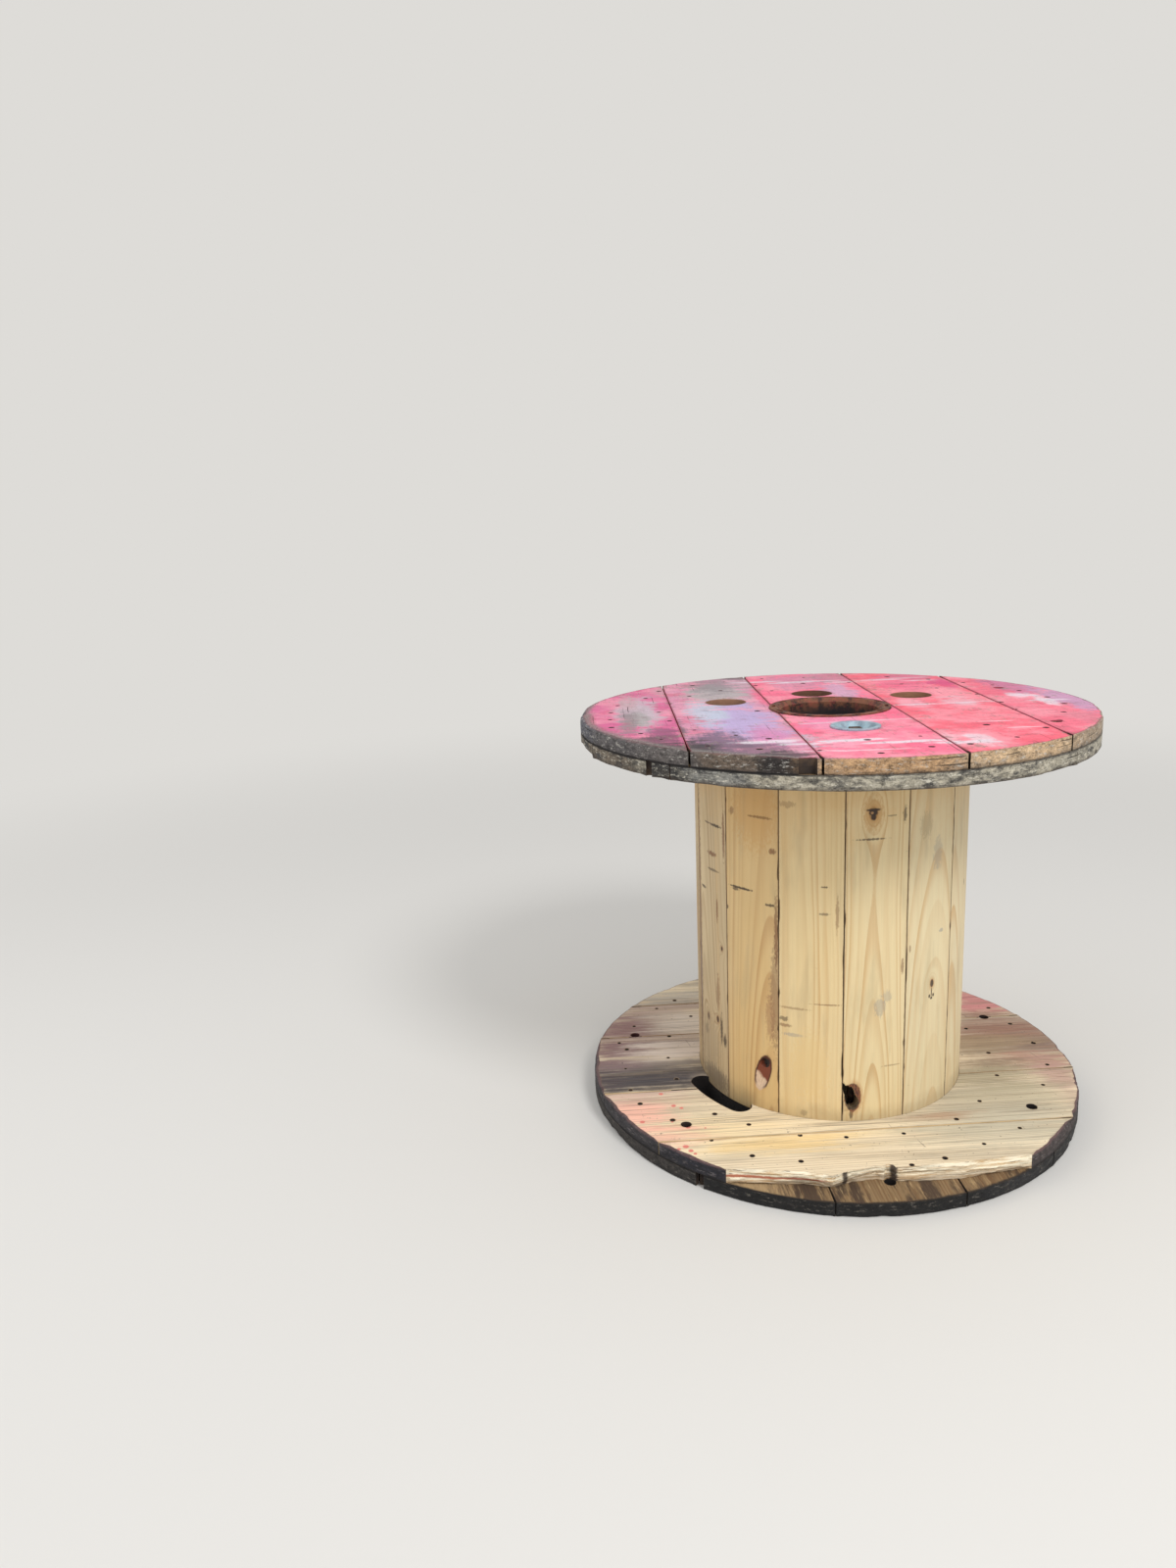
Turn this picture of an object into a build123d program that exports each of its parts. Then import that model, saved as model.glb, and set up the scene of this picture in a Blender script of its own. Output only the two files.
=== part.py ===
from build123d import *

import os
from math import asin, cos, pi, radians, sin, sqrt, tan

os.makedirs("parts", exist_ok=True)

# Wooden cable drum, standing on its lower flange, in millimetres.
# The origin is on the drum's axis at the floor, and +Z runs up the axis.
# Azimuths are in degrees about +Z from +X, and the drum's front faces -Y.

# Flanges, each of two crossed layers of boards nailed face to face
flange_radius = 457.2
board_thickness = 25.4
seam_gap = 1.6

# Barrel of staves between the flanges
traverse = 643.0
barrel_radius = 248.5
stave_thickness = 25.4
stave_count = 14
stave_gap = 1.8
stave_joint_azimuth = -83.6
groove_depth = 10.0
groove_clearance = 0.4

# Direction of the boards of each layer, the widths of its two edge boards, and its other seams.
# A seam's offset is measured from the axis across the boards, towards the back.
top_outer_direction = 101.6
top_outer_edge_widths = (156.2, 171.2)
top_outer_seams = [-112.0, 100.0]
top_inner_direction = 11.6
top_inner_edge_widths = (126.2, 219.2)
top_inner_seams = [-141.0, 48.0]
bottom_inner_direction = 14.5
bottom_inner_edge_widths = (178.2, 179.2)
bottom_inner_seams = [-103.0, 129.0]
bottom_outer_direction = 104.5
bottom_outer_edge_widths = (157.2, 157.2)
bottom_outer_seams = [-115.0, 98.0]

# Pressed steel bushing that lines the arbor hole in each flange
bore_radius = 88.5
bushing_wall = 3.5
bushing_bend = 5.0
bushing_ring_width = 12.0
bushing_tube_length = 44.0
bushing_clearance = 0.5
bushing_slot_count = 12
bushing_slot_length = 22.0
bushing_slot_width = 7.0
bushing_slot_land = 0.5
top_bushing_recess = 1.5
bottom_bushing_recess = 4.0

# Tie rods that clamp the flanges onto the staves
rod_radius = 6.35
rod_stave_clearance = 11.75
rod_azimuths = [-78.0, 42.0, 162.0]
rod_hole_clearance = 0.65
rod_end_stand = 3.0
rod_end_chamfer = 1.2
rod_pocket_radius = 38.0
nut_width = 20.0
nut_height = 11.0
nut_chamfer = 1.0
nut_clearance = 0.2
washer_radius = 25.0
washer_thickness = 2.5

# Dished washer over the front rod's pocket, with its rim on the wood
dish_rim_radius = 41.0
dish_mouth_radius = 33.0
dish_floor_radius = 19.0
dish_depth = 15.0

# Arc slot beside the barrel, where the cable's inner end passes out
start_slot_undercut = 3.5
start_slot_width = 43.0
start_slot_first_azimuth = -149.0
start_slot_last_azimuth = -125.0

# Hole through the upper flange, behind its bushing
peep_radius = 39.0
peep_circle_radius = 167.5
peep_azimuth = 102.0

# Holes near the rims, drilled by hand, as (azimuth, distance in from the rim)
rim_hole_radius = 9.0
top_rim_holes = [(-23.0, 63.2), (34.0, 68.2)]
bottom_rim_holes = [(174.0, 66.2), (-129.0, 75.2), (-75.0, 57.2), (-23.0, 69.2), (34.0, 69.2)]

# Where the lower flange's front board has split off along its grain, from left to right,
# as (distance along the board, depth in from the rim's front)
split_line = [
    (-262.0, 83.0),
    (-138.0, 61.0),
    (-94.0, 45.0),
    (-59.0, 58.0),
    (-17.0, 65.0),
    (9.0, 56.0),
    (118.0, 56.0),
    (247.0, 71.0),
]

# Pieces knocked out of the rims, as (azimuth, width at the rim, depth)
top_outer_nicks = [(-93.4, 32.0, 9.0)]
top_inner_nicks = [(-127.5, 15.0, 10.0)]
bottom_outer_nicks = [(-116.5, 17.0, 12.0)]

# Knot hole through the first stave, beside its joint
knot_hole_azimuth = -79.4
knot_hole_height = 95.5
knot_hole_width = 22.0
knot_hole_length = 51.0

# Heights of the layers' faces, and sizes that follow from the values above
full_turn = 360.0
flange_thickness = 2 * board_thickness
lower_flange_top = flange_thickness
upper_flange_bottom = lower_flange_top + traverse
drum_height = upper_flange_bottom + flange_thickness
stave_inner_distance = barrel_radius - stave_thickness
bushing_outer_radius = bore_radius + bushing_wall
bushing_mouth = bushing_bend + bushing_wall * (2 - sqrt(2))
bushing_ring_radius = bushing_outer_radius + bushing_bend + bushing_ring_width
wood_bore_radius = bushing_outer_radius + bushing_clearance
rod_hole_radius = rod_radius + rod_hole_clearance
rod_circle_radius = stave_inner_distance - rod_stave_clearance - rod_radius
nut_stack = washer_thickness + nut_height


def on_circle(radius, azimuth):
    return (radius * cos(radians(azimuth)), radius * sin(radians(azimuth)))


def turned_plane(height, azimuth):
    facing = (cos(radians(azimuth)), sin(radians(azimuth)), 0)
    return Plane(origin=(0, 0, height), x_dir=facing, z_dir=(0, 0, 1))


def disc_blank(height):
    with BuildSketch(Plane.XY.offset(height)) as outline:
        Circle(flange_radius)
    extrude(outline.sketch, amount=board_thickness)


def cut_round(height, radius, spots):
    with BuildSketch(Plane.XY.offset(height)) as outline:
        with Locations(*spots):
            Circle(radius)
    extrude(outline.sketch, amount=board_thickness, mode=Mode.SUBTRACT)


def cut_bushing_seat(face_height, inward, recess):
    # The seat is sunk for the ring, and eased where the bushing's bend passes the wood
    ring_edge = bushing_ring_radius + bushing_clearance
    eased_edge = wood_bore_radius + bushing_bend
    floor = face_height + inward * recess
    with BuildSketch(Plane.XZ) as profile:
        with BuildLine():
            Polyline(
                (0, face_height),
                (ring_edge, face_height),
                (ring_edge, floor),
                (eased_edge, floor),
                (wood_bore_radius, floor + inward * bushing_bend),
                (wood_bore_radius, face_height + inward * board_thickness),
                (0, face_height + inward * board_thickness),
                close=True,
            )
        make_face()
    revolve(profile.sketch, axis=Axis.Z, mode=Mode.SUBTRACT)


def cut_stave_groove(height):
    with BuildSketch(Plane.XY.offset(height)) as ring:
        Circle(barrel_radius + groove_clearance)
        Circle(stave_inner_distance - groove_clearance, mode=Mode.SUBTRACT)
    extrude(ring.sketch, amount=groove_depth, mode=Mode.SUBTRACT)


def cut_start_slot(height):
    middle = barrel_radius - start_slot_undercut + start_slot_width / 2
    sweep_angle = start_slot_last_azimuth - start_slot_first_azimuth
    with BuildSketch(Plane.XY.offset(height)) as outline:
        SlotArc(CenterArc((0, 0), middle, start_slot_first_azimuth, sweep_angle), start_slot_width)
    extrude(outline.sketch, amount=board_thickness, mode=Mode.SUBTRACT)


def cut_nicks(height, nicks):
    for azimuth, width, depth in nicks:
        with BuildSketch(turned_plane(height, azimuth)) as chip:
            with BuildLine():
                Polyline(
                    (flange_radius + depth, -width / 2),
                    (flange_radius - depth / 2, -width / 2),
                    (flange_radius - depth, width / 4),
                    (flange_radius + depth, width / 2),
                    close=True,
                )
            make_face()
        extrude(chip.sketch, amount=board_thickness, mode=Mode.SUBTRACT)


def saw_boards(blank, name, height, direction, edge_widths, seams):
    # The layer's boards, in order from the drum's front or from its right side
    first_seam = edge_widths[0] - flange_radius
    last_seam = flange_radius - edge_widths[1]
    edges_across = [-2 * flange_radius, first_seam, *seams, last_seam, 2 * flange_radius]
    for number in range(1, len(edges_across)):
        low = edges_across[number - 1] + seam_gap / 2
        high = edges_across[number] - seam_gap / 2
        with BuildPart() as board:
            add(blank)
            with BuildSketch(turned_plane(height, direction)):
                with Locations((0, (low + high) / 2)):
                    Rectangle(4 * flange_radius, high - low)
            extrude(amount=board_thickness, mode=Mode.INTERSECT)
        board.part.label = f"{name}_{number}"
        export_step(board.part, f"parts/{name}_{number}.step")


rod_spots = [on_circle(rod_circle_radius, azimuth) for azimuth in rod_azimuths]
peep_spot = on_circle(peep_circle_radius, peep_azimuth)
top_rim_spots = [on_circle(flange_radius - inset, azimuth) for azimuth, inset in top_rim_holes]
bottom_rim_spots = [on_circle(flange_radius - inset, azimuth) for azimuth, inset in bottom_rim_holes]

# Upper flange
top_outer_height = drum_height - board_thickness
with BuildPart() as top_outer_layer:
    disc_blank(top_outer_height)
    cut_bushing_seat(drum_height, -1, top_bushing_recess)
    cut_round(top_outer_height, rod_pocket_radius, rod_spots)
    cut_round(top_outer_height, peep_radius, [peep_spot])
    cut_round(top_outer_height, rim_hole_radius, top_rim_spots)
    cut_nicks(top_outer_height, top_outer_nicks)
saw_boards(
    top_outer_layer.part,
    "top_outer_board",
    top_outer_height,
    top_outer_direction,
    top_outer_edge_widths,
    top_outer_seams,
)

with BuildPart() as top_inner_layer:
    disc_blank(upper_flange_bottom)
    cut_round(upper_flange_bottom, wood_bore_radius, [(0, 0)])
    cut_round(upper_flange_bottom, rod_hole_radius, rod_spots)
    cut_round(upper_flange_bottom, peep_radius, [peep_spot])
    cut_round(upper_flange_bottom, rim_hole_radius, top_rim_spots)
    cut_stave_groove(upper_flange_bottom)
    cut_nicks(upper_flange_bottom, top_inner_nicks)
saw_boards(
    top_inner_layer.part,
    "top_inner_board",
    upper_flange_bottom,
    top_inner_direction,
    top_inner_edge_widths,
    top_inner_seams,
)

# Lower flange
with BuildPart() as bottom_inner_layer:
    disc_blank(board_thickness)
    cut_round(board_thickness, wood_bore_radius, [(0, 0)])
    cut_round(board_thickness, rod_hole_radius, rod_spots)
    cut_round(board_thickness, rim_hole_radius, bottom_rim_spots)
    cut_stave_groove(lower_flange_top - groove_depth)
    cut_start_slot(board_thickness)
    with BuildSketch(turned_plane(board_thickness, bottom_inner_direction)):
        with BuildLine():
            Polyline(
                (-flange_radius, -2 * flange_radius),
                (-flange_radius, split_line[0][1] - flange_radius),
                *[(along, inset - flange_radius) for along, inset in split_line],
                (flange_radius, split_line[-1][1] - flange_radius),
                (flange_radius, -2 * flange_radius),
                close=True,
            )
        make_face()
    extrude(amount=board_thickness, mode=Mode.SUBTRACT)
saw_boards(
    bottom_inner_layer.part,
    "bottom_inner_board",
    board_thickness,
    bottom_inner_direction,
    bottom_inner_edge_widths,
    bottom_inner_seams,
)

with BuildPart() as bottom_outer_layer:
    disc_blank(0)
    cut_bushing_seat(0, 1, bottom_bushing_recess)
    cut_round(0, rod_pocket_radius, rod_spots)
    cut_round(0, rim_hole_radius, bottom_rim_spots)
    cut_start_slot(0)
    cut_nicks(0, bottom_outer_nicks)
saw_boards(
    bottom_outer_layer.part,
    "bottom_outer_board",
    0,
    bottom_outer_direction,
    bottom_outer_edge_widths,
    bottom_outer_seams,
)

# Barrel: each stave's outer face is turned round, and its inner face is left flat
stave_bottom = lower_flange_top - groove_depth
stave_length = traverse + 2 * groove_depth
stave_half_angle = pi / stave_count
outer_half_angle = stave_half_angle - asin(stave_gap / 2 / barrel_radius)
outer_corner = (barrel_radius * cos(outer_half_angle), barrel_radius * sin(outer_half_angle))
inner_half_width = stave_inner_distance * tan(stave_half_angle) - stave_gap / 2 / cos(stave_half_angle)

for number in range(1, stave_count + 1):
    stave_azimuth = stave_joint_azimuth + (number - 0.5) * full_turn / stave_count
    with BuildPart() as stave:
        with BuildSketch(turned_plane(stave_bottom, stave_azimuth)):
            with BuildLine():
                ThreePointArc(
                    (outer_corner[0], -outer_corner[1]),
                    (barrel_radius, 0),
                    outer_corner,
                )
                Polyline(
                    outer_corner,
                    (stave_inner_distance, inner_half_width),
                    (stave_inner_distance, -inner_half_width),
                    (outer_corner[0], -outer_corner[1]),
                )
            make_face()
        extrude(amount=stave_length)
        if number == 1:
            outward = (*on_circle(1, knot_hole_azimuth), 0)
            knot_plane = Plane(origin=(0, 0, knot_hole_height), x_dir=(0, 0, 1), z_dir=outward)
            with BuildSketch(knot_plane.offset(stave_inner_distance - stave_thickness)):
                Ellipse(knot_hole_length / 2, knot_hole_width / 2)
            extrude(amount=3 * stave_thickness, mode=Mode.SUBTRACT)
    stave.part.label = f"stave_{number:02d}"
    export_step(stave.part, f"parts/stave_{number:02d}.step")


def press_bushing(face_height, inward):
    # Ring and tube pressed from one sheet, with a sloped mouth where they meet
    far_end = face_height + inward * bushing_tube_length
    back = face_height + inward * bushing_wall
    with BuildSketch(Plane.XZ) as profile:
        with BuildLine():
            Polyline(
                (bushing_ring_radius, face_height),
                (bore_radius, face_height),
                (bore_radius, far_end),
                (bushing_outer_radius, far_end),
                (bushing_outer_radius, back),
                (bushing_ring_radius, back),
                close=True,
            )
        make_face()
        chamfer(vertices().sort_by_distance((bore_radius, face_height))[0], length=bushing_mouth)
        chamfer(vertices().sort_by_distance((bushing_outer_radius, back))[0], length=bushing_bend)
    revolve(profile.sketch, axis=Axis.Z)
    slot_circle = bushing_outer_radius + bushing_bend + bushing_slot_land + bushing_slot_width / 2
    with BuildSketch(Plane.XY.offset(min(face_height, back))) as slots:
        with PolarLocations(slot_circle, bushing_slot_count):
            SlotOverall(bushing_slot_length, bushing_slot_width, rotation=90)
    extrude(slots.sketch, amount=bushing_wall, mode=Mode.SUBTRACT)


with BuildPart() as bushing_top:
    press_bushing(drum_height - top_bushing_recess + bushing_wall, -1)
bushing_top.part.label = "bushing_top"
export_step(bushing_top.part, "parts/bushing_top.step")

with BuildPart() as bushing_bottom:
    press_bushing(bottom_bushing_recess - bushing_wall, 1)
bushing_bottom.part.label = "bushing_bottom"
export_step(bushing_bottom.part, "parts/bushing_bottom.step")

# Tie rods, with a washer and a square nut at each end
upper_seat = drum_height - board_thickness
dish_seat = drum_height - dish_depth + washer_thickness

for number, azimuth in enumerate(rod_azimuths, start=1):
    is_front = number == 1
    spot = on_circle(rod_circle_radius, azimuth)
    low_end = board_thickness - nut_stack - rod_end_stand
    upper_nut_bottom = dish_seat if is_front else upper_seat + washer_thickness
    high_end = upper_nut_bottom + nut_height + (0 if is_front else rod_end_stand)

    with BuildPart() as tie_rod:
        with BuildSketch(Plane.XY.offset(low_end)):
            with Locations(spot):
                Circle(rod_radius)
        extrude(amount=high_end - low_end)
        chamfer(edges().filter_by(GeomType.CIRCLE), length=rod_end_chamfer)
    tie_rod.part.label = f"tie_rod_{number}"
    export_step(tie_rod.part, f"parts/tie_rod_{number}.step")

    washer_heights = {"bottom": board_thickness - washer_thickness}
    if not is_front:
        washer_heights["top"] = upper_seat
    for side, height in washer_heights.items():
        with BuildPart() as washer:
            with BuildSketch(Plane.XY.offset(height)):
                with Locations(spot):
                    Circle(washer_radius)
                    Circle(rod_hole_radius, mode=Mode.SUBTRACT)
            extrude(amount=washer_thickness)
        washer.part.label = f"washer_{side}_{number}"
        export_step(washer.part, f"parts/washer_{side}_{number}.step")

    nut_heights = {"bottom": board_thickness - nut_stack, "top": upper_nut_bottom}
    for side, height in nut_heights.items():
        with BuildPart() as nut:
            with BuildSketch(turned_plane(height, azimuth)):
                with Locations((rod_circle_radius, 0)):
                    Rectangle(nut_width, nut_width)
            extrude(amount=nut_height)
            outer_face = faces().sort_by(Axis.Z)[-1 if side == "top" else 0]
            chamfer(outer_face.edges(), length=nut_chamfer)
            with BuildSketch(Plane.XY.offset(height)):
                with Locations(spot):
                    Circle(rod_radius + nut_clearance)
            extrude(amount=nut_height, mode=Mode.SUBTRACT)
        nut.part.label = f"nut_{side}_{number}"
        export_step(nut.part, f"parts/nut_{side}_{number}.step")

# The front rod's upper washer, pressed into a dish
front_spot = on_circle(rod_circle_radius, rod_azimuths[0])
rim_top = drum_height + washer_thickness
floor_top = rim_top - dish_depth
slope_shift = washer_thickness
with BuildPart() as dished_washer:
    with BuildSketch(Plane(origin=(*front_spot, 0), x_dir=(1, 0, 0), z_dir=(0, -1, 0))):
        with BuildLine():
            Polyline(
                (rod_hole_radius, floor_top),
                (dish_floor_radius, floor_top),
                (dish_mouth_radius, rim_top),
                (dish_rim_radius, rim_top),
                (dish_rim_radius, drum_height),
                (dish_mouth_radius + slope_shift, drum_height),
                (dish_floor_radius + slope_shift, floor_top - washer_thickness),
                (rod_hole_radius, floor_top - washer_thickness),
                close=True,
            )
        make_face()
    revolve(axis=Axis(origin=(*front_spot, 0), direction=(0, 0, 1)))
dished_washer.part.label = "dished_washer"
export_step(dished_washer.part, "parts/dished_washer.step")
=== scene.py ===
import math

import bmesh
import bpy
import numpy as np
from mathutils import Matrix, Vector
from mathutils.geometry import delaunay_2d_cdt


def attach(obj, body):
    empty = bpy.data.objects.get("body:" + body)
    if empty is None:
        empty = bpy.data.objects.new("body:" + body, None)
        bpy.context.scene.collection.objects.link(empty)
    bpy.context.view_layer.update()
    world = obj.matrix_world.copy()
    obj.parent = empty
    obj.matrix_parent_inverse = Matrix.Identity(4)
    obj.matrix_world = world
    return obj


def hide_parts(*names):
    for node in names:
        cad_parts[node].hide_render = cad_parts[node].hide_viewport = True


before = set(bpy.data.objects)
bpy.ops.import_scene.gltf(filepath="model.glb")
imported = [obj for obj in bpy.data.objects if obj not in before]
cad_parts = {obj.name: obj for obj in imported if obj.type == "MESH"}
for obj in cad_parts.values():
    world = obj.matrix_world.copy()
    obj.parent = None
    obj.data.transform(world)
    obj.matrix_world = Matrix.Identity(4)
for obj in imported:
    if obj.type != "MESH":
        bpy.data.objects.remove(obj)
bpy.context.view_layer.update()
scene = bpy.context.scene
mm = 0.001

# Sizes shared by the pieces, in millimetres, as the drum was built
drum = {
    "flangeRadius": 457.2,
    "board": 25.4,
    "height": 744.6,
    "barrelRadius": 248.5,
    "staveInner": 223.1,
    "staveCount": 14,
    "firstJoint": -83.6,
    "grooveDepth": 10.0,
    "grooveSlack": 0.4,
}
lowerTop = 2 * drum["board"]
upperBottom = drum["height"] - 2 * drum["board"]
rimFrom = drum["flangeRadius"] - 1  # points further out lie on a flange's rim


# Camera, solved from the drum's circles in the photo
cameraSet = {
    "place": (0.0, -2.0752, 1.0873),
    "yaw": -12.45,
    "pitch": 13.04,
    "roll": -2.33,
    "focalPixels": 1143.66,
    "photoHeight": 1600,
    "sensor": 36.0,
}


def makeCamera():
    s = cameraSet
    yaw, pitch, roll = (math.radians(s[key]) for key in ("yaw", "pitch", "roll"))
    ahead = Vector((math.sin(yaw) * math.cos(pitch), math.cos(yaw) * math.cos(pitch), -math.sin(pitch)))
    level = Vector((math.cos(yaw), -math.sin(yaw), 0))
    above = level.cross(ahead)
    right = level * math.cos(roll) + above * math.sin(roll)
    up = above * math.cos(roll) - level * math.sin(roll)
    lens = bpy.data.cameras.new("camera")
    lens.sensor_width = s["sensor"]
    lens.lens = s["focalPixels"] / s["photoHeight"] * s["sensor"]
    lens.clip_start = 0.05
    lens.clip_end = 200
    viewer = bpy.data.objects.new("camera", lens)
    turned = Matrix((right, up, -ahead)).transposed().to_4x4()
    viewer.matrix_world = Matrix.Translation(s["place"]) @ turned
    scene.collection.objects.link(viewer)
    scene.camera = viewer


makeCamera()
print("camera placed")


# Repeatable smooth noise for arrays of points
def smoothNoise(points, seed=0):
    cell = np.floor(points).astype(np.int64)
    part = points - cell
    part = part * part * (3 - 2 * part)
    total = np.zeros(len(points))
    for corner in range(8):
        step = np.array([corner & 1, (corner >> 1) & 1, (corner >> 2) & 1])
        at = cell + step
        mixed = (at[:, 0] * 73856093) ^ (at[:, 1] * 19349663) ^ (at[:, 2] * 83492791)
        mixed = mixed ^ (seed * 15485863 + 101)
        mixed = (mixed ^ (mixed >> 15)) * 668265263
        mixed = (mixed ^ (mixed >> 13)) & 0xFFFFF
        weight = np.prod(np.where(step == 1, part, 1 - part), axis=1)
        total += weight * mixed / 0xFFFFF
    return total * 2 - 1


def smoothStep(low, high, value):
    t = np.clip((value - low) / (high - low), 0, 1)
    return t * t * (3 - 2 * t)


def polar(points):
    # Distance from the drum's axis, and azimuth in degrees
    x, y = points[:, 0], points[:, 1]
    return np.hypot(x, y), np.degrees(np.arctan2(y, x))


def unitRing(count, start=0.0):
    turns = np.arange(count) * 2 * np.pi / count + start
    return np.column_stack((np.cos(turns), np.sin(turns)))


def onCircle(radius, azimuth):
    angle = math.radians(azimuth)
    return np.array((radius * math.cos(angle), radius * math.sin(angle)))


# Outlines of the boards, read from the frame
def sliceLoops(nodeName, height):
    cut = bmesh.new()
    cut.from_mesh(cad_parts[nodeName].data)
    bmesh.ops.remove_doubles(cut, verts=cut.verts, dist=1e-6)
    everything = cut.verts[:] + cut.edges[:] + cut.faces[:]
    bmesh.ops.bisect_plane(
        cut, geom=everything, dist=1e-7, plane_co=(0, 0, height * mm), plane_no=(0, 0, 1),
        clear_inner=True, clear_outer=True,
    )
    cut.verts.index_update()
    cut.edges.index_update()
    used = set()
    loops = []
    for edge in cut.edges:
        if edge.index in used:
            continue
        used.add(edge.index)
        start, current = sorted(edge.verts, key=lambda v: v.index)
        ring = [tuple(start.co.xy)]
        while current.index != start.index:
            ring.append(tuple(current.co.xy))
            onward = [e for e in current.link_edges if e.index not in used]
            if not onward:
                break
            used.add(onward[0].index)
            current = onward[0].other_vert(current)
        loops.append(np.array(ring) / mm)
    cut.free()
    return turnLoops([ring for ring in loops if len(ring) > 2])


def signedArea(ring):
    onward = np.roll(ring, -1, axis=0)
    return 0.5 * np.sum(ring[:, 0] * onward[:, 1] - ring[:, 1] * onward[:, 0])


def turnLoops(loops):
    # The outer loop runs anticlockwise and the holes clockwise, so that the wood is on the left
    loops = sorted(loops, key=lambda ring: -abs(signedArea(ring)))
    turned = []
    for number, ring in enumerate(loops):
        wanted = 1 if number == 0 else -1
        turned.append(ring if signedArea(ring) * wanted > 0 else ring[::-1])
    return turned


def densify(ring, step):
    dense = []
    for a, b in zip(ring, np.roll(ring, -1, axis=0)):
        count = max(1, math.ceil(np.linalg.norm(b - a) / step))
        for k in range(count):
            dense.append(a + (b - a) * k / count)
    dense = np.array(dense)
    gaps = np.linalg.norm(dense - np.roll(dense, 1, axis=0), axis=1)
    return dense[gaps > 0.3]


def inwardNormals(ring):
    back = ring - np.roll(ring, 1, axis=0)
    ahead = np.roll(ring, -1, axis=0) - ring
    back /= np.linalg.norm(back, axis=1)[:, None] + 1e-9
    ahead /= np.linalg.norm(ahead, axis=1)[:, None] + 1e-9
    along = back + ahead
    along /= np.linalg.norm(along, axis=1)[:, None] + 1e-9
    return np.column_stack((-along[:, 1], along[:, 0]))


def insideLoops(points, loops):
    inside = np.zeros(len(points), bool)
    for ring in loops:
        a = ring
        b = np.roll(ring, -1, axis=0)
        for start in range(0, len(points), 2000):
            p = points[start:start + 2000]
            crosses = (a[None, :, 1] > p[:, None, 1]) != (b[None, :, 1] > p[:, None, 1])
            slope = (b[:, 0] - a[:, 0]) / np.where(b[:, 1] == a[:, 1], 1e-9, b[:, 1] - a[:, 1])
            reach = a[None, :, 0] + (p[:, None, 1] - a[None, :, 1]) * slope[None, :]
            hits = np.sum(crosses & (p[:, None, 0] < reach), axis=1)
            inside[start:start + 2000] ^= (hits % 2).astype(bool)
    return inside


def nearestGap(points, others):
    gap = np.full(len(points), 1e9)
    for start in range(0, len(others), 400):
        far = points[:, None, :] - others[None, start:start + 400, :]
        gap = np.minimum(gap, np.sqrt((far**2).sum(axis=2)).min(axis=1))
    return gap


def hexGrid(low, high, spacing):
    rows = np.arange(low[1], high[1], spacing * math.sqrt(3) / 2)
    points = []
    for number, y in enumerate(rows):
        shift = spacing / 2 if number % 2 else 0
        xs = np.arange(low[0] + shift, high[0], spacing)
        points.append(np.column_stack((xs, np.full(len(xs), y))))
    return np.concatenate(points)


def capTriangles(rings, inner):
    # Triangles over a face with holes: the rings' points come first, then the inner points
    flat = np.concatenate(rings + ([inner] if len(inner) else []))
    edges = []
    base = 0
    for ring in rings:
        n = len(ring)
        edges += [(base + k, base + (k + 1) % n) for k in range(n)]
        base += n
    found = delaunay_2d_cdt([Vector(p) for p in flat], edges, [], 0, 1e-5)
    spots = np.array([tuple(v) for v in found[0]])
    triangles = found[2]
    sides = {}
    for number, (a, b, c) in enumerate(triangles):
        sides[a, b] = sides[b, c] = sides[c, a] = number
    # The rings have the wood on their left: it spreads from there up to the rings
    border = set()
    kept = set()
    for (a, b), sources in zip(found[1], found[4]):
        if sources:
            p, q = edges[sources[0]]
            if (flat[q] - flat[p]) @ (spots[b] - spots[a]) < 0:
                a, b = b, a
            border |= {(a, b), (b, a)}
            if (a, b) in sides:
                kept.add(sides[a, b])
    waiting = sorted(kept)
    while waiting:
        a, b, c = triangles[waiting.pop()]
        for side in ((b, a), (c, b), (a, c)):
            other = sides.get(side)
            if side not in border and other is not None and other not in kept:
                kept.add(other)
                waiting.append(other)
    origin = [ids[0] if ids else -1 for ids in found[3]]
    return spots, np.array([triangles[number] for number in sorted(kept)]), origin


def sharpCorners(ring, degrees):
    back = ring - np.roll(ring, 1, axis=0)
    ahead = np.roll(ring, -1, axis=0) - ring
    cross = back[:, 0] * ahead[:, 1] - back[:, 1] * ahead[:, 0]
    return np.abs(np.degrees(np.arctan2(cross, (back * ahead).sum(axis=1)))) > degrees


# How a panel is meshed, in millimetres, degrees and shares
panelMake = {
    "corner": 20,  # a bend sharper than this is a corner
    "cornerMost": 0.3,  # how far the sides move at a corner, and as a share of the next edge
    "cornerShare": 0.4,
    "sideLeast": 0.05,  # how far they move elsewhere, and what each mm from a corner adds
    "sideGain": 0.3,
    "reliefToEdge": 0.8,
    "gridToRelief": 0.45,
    "gridToEdge": 0.55,
    "crease": 24,
    # The rounded edge of a face: depth and inset, as shares of the rounding
    "round": ((0.0, 1.0), (0.15, 0.47), (0.45, 0.165), (1.0, 0.0)),
    "backRound": (0, 0.3, 1),
}


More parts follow.
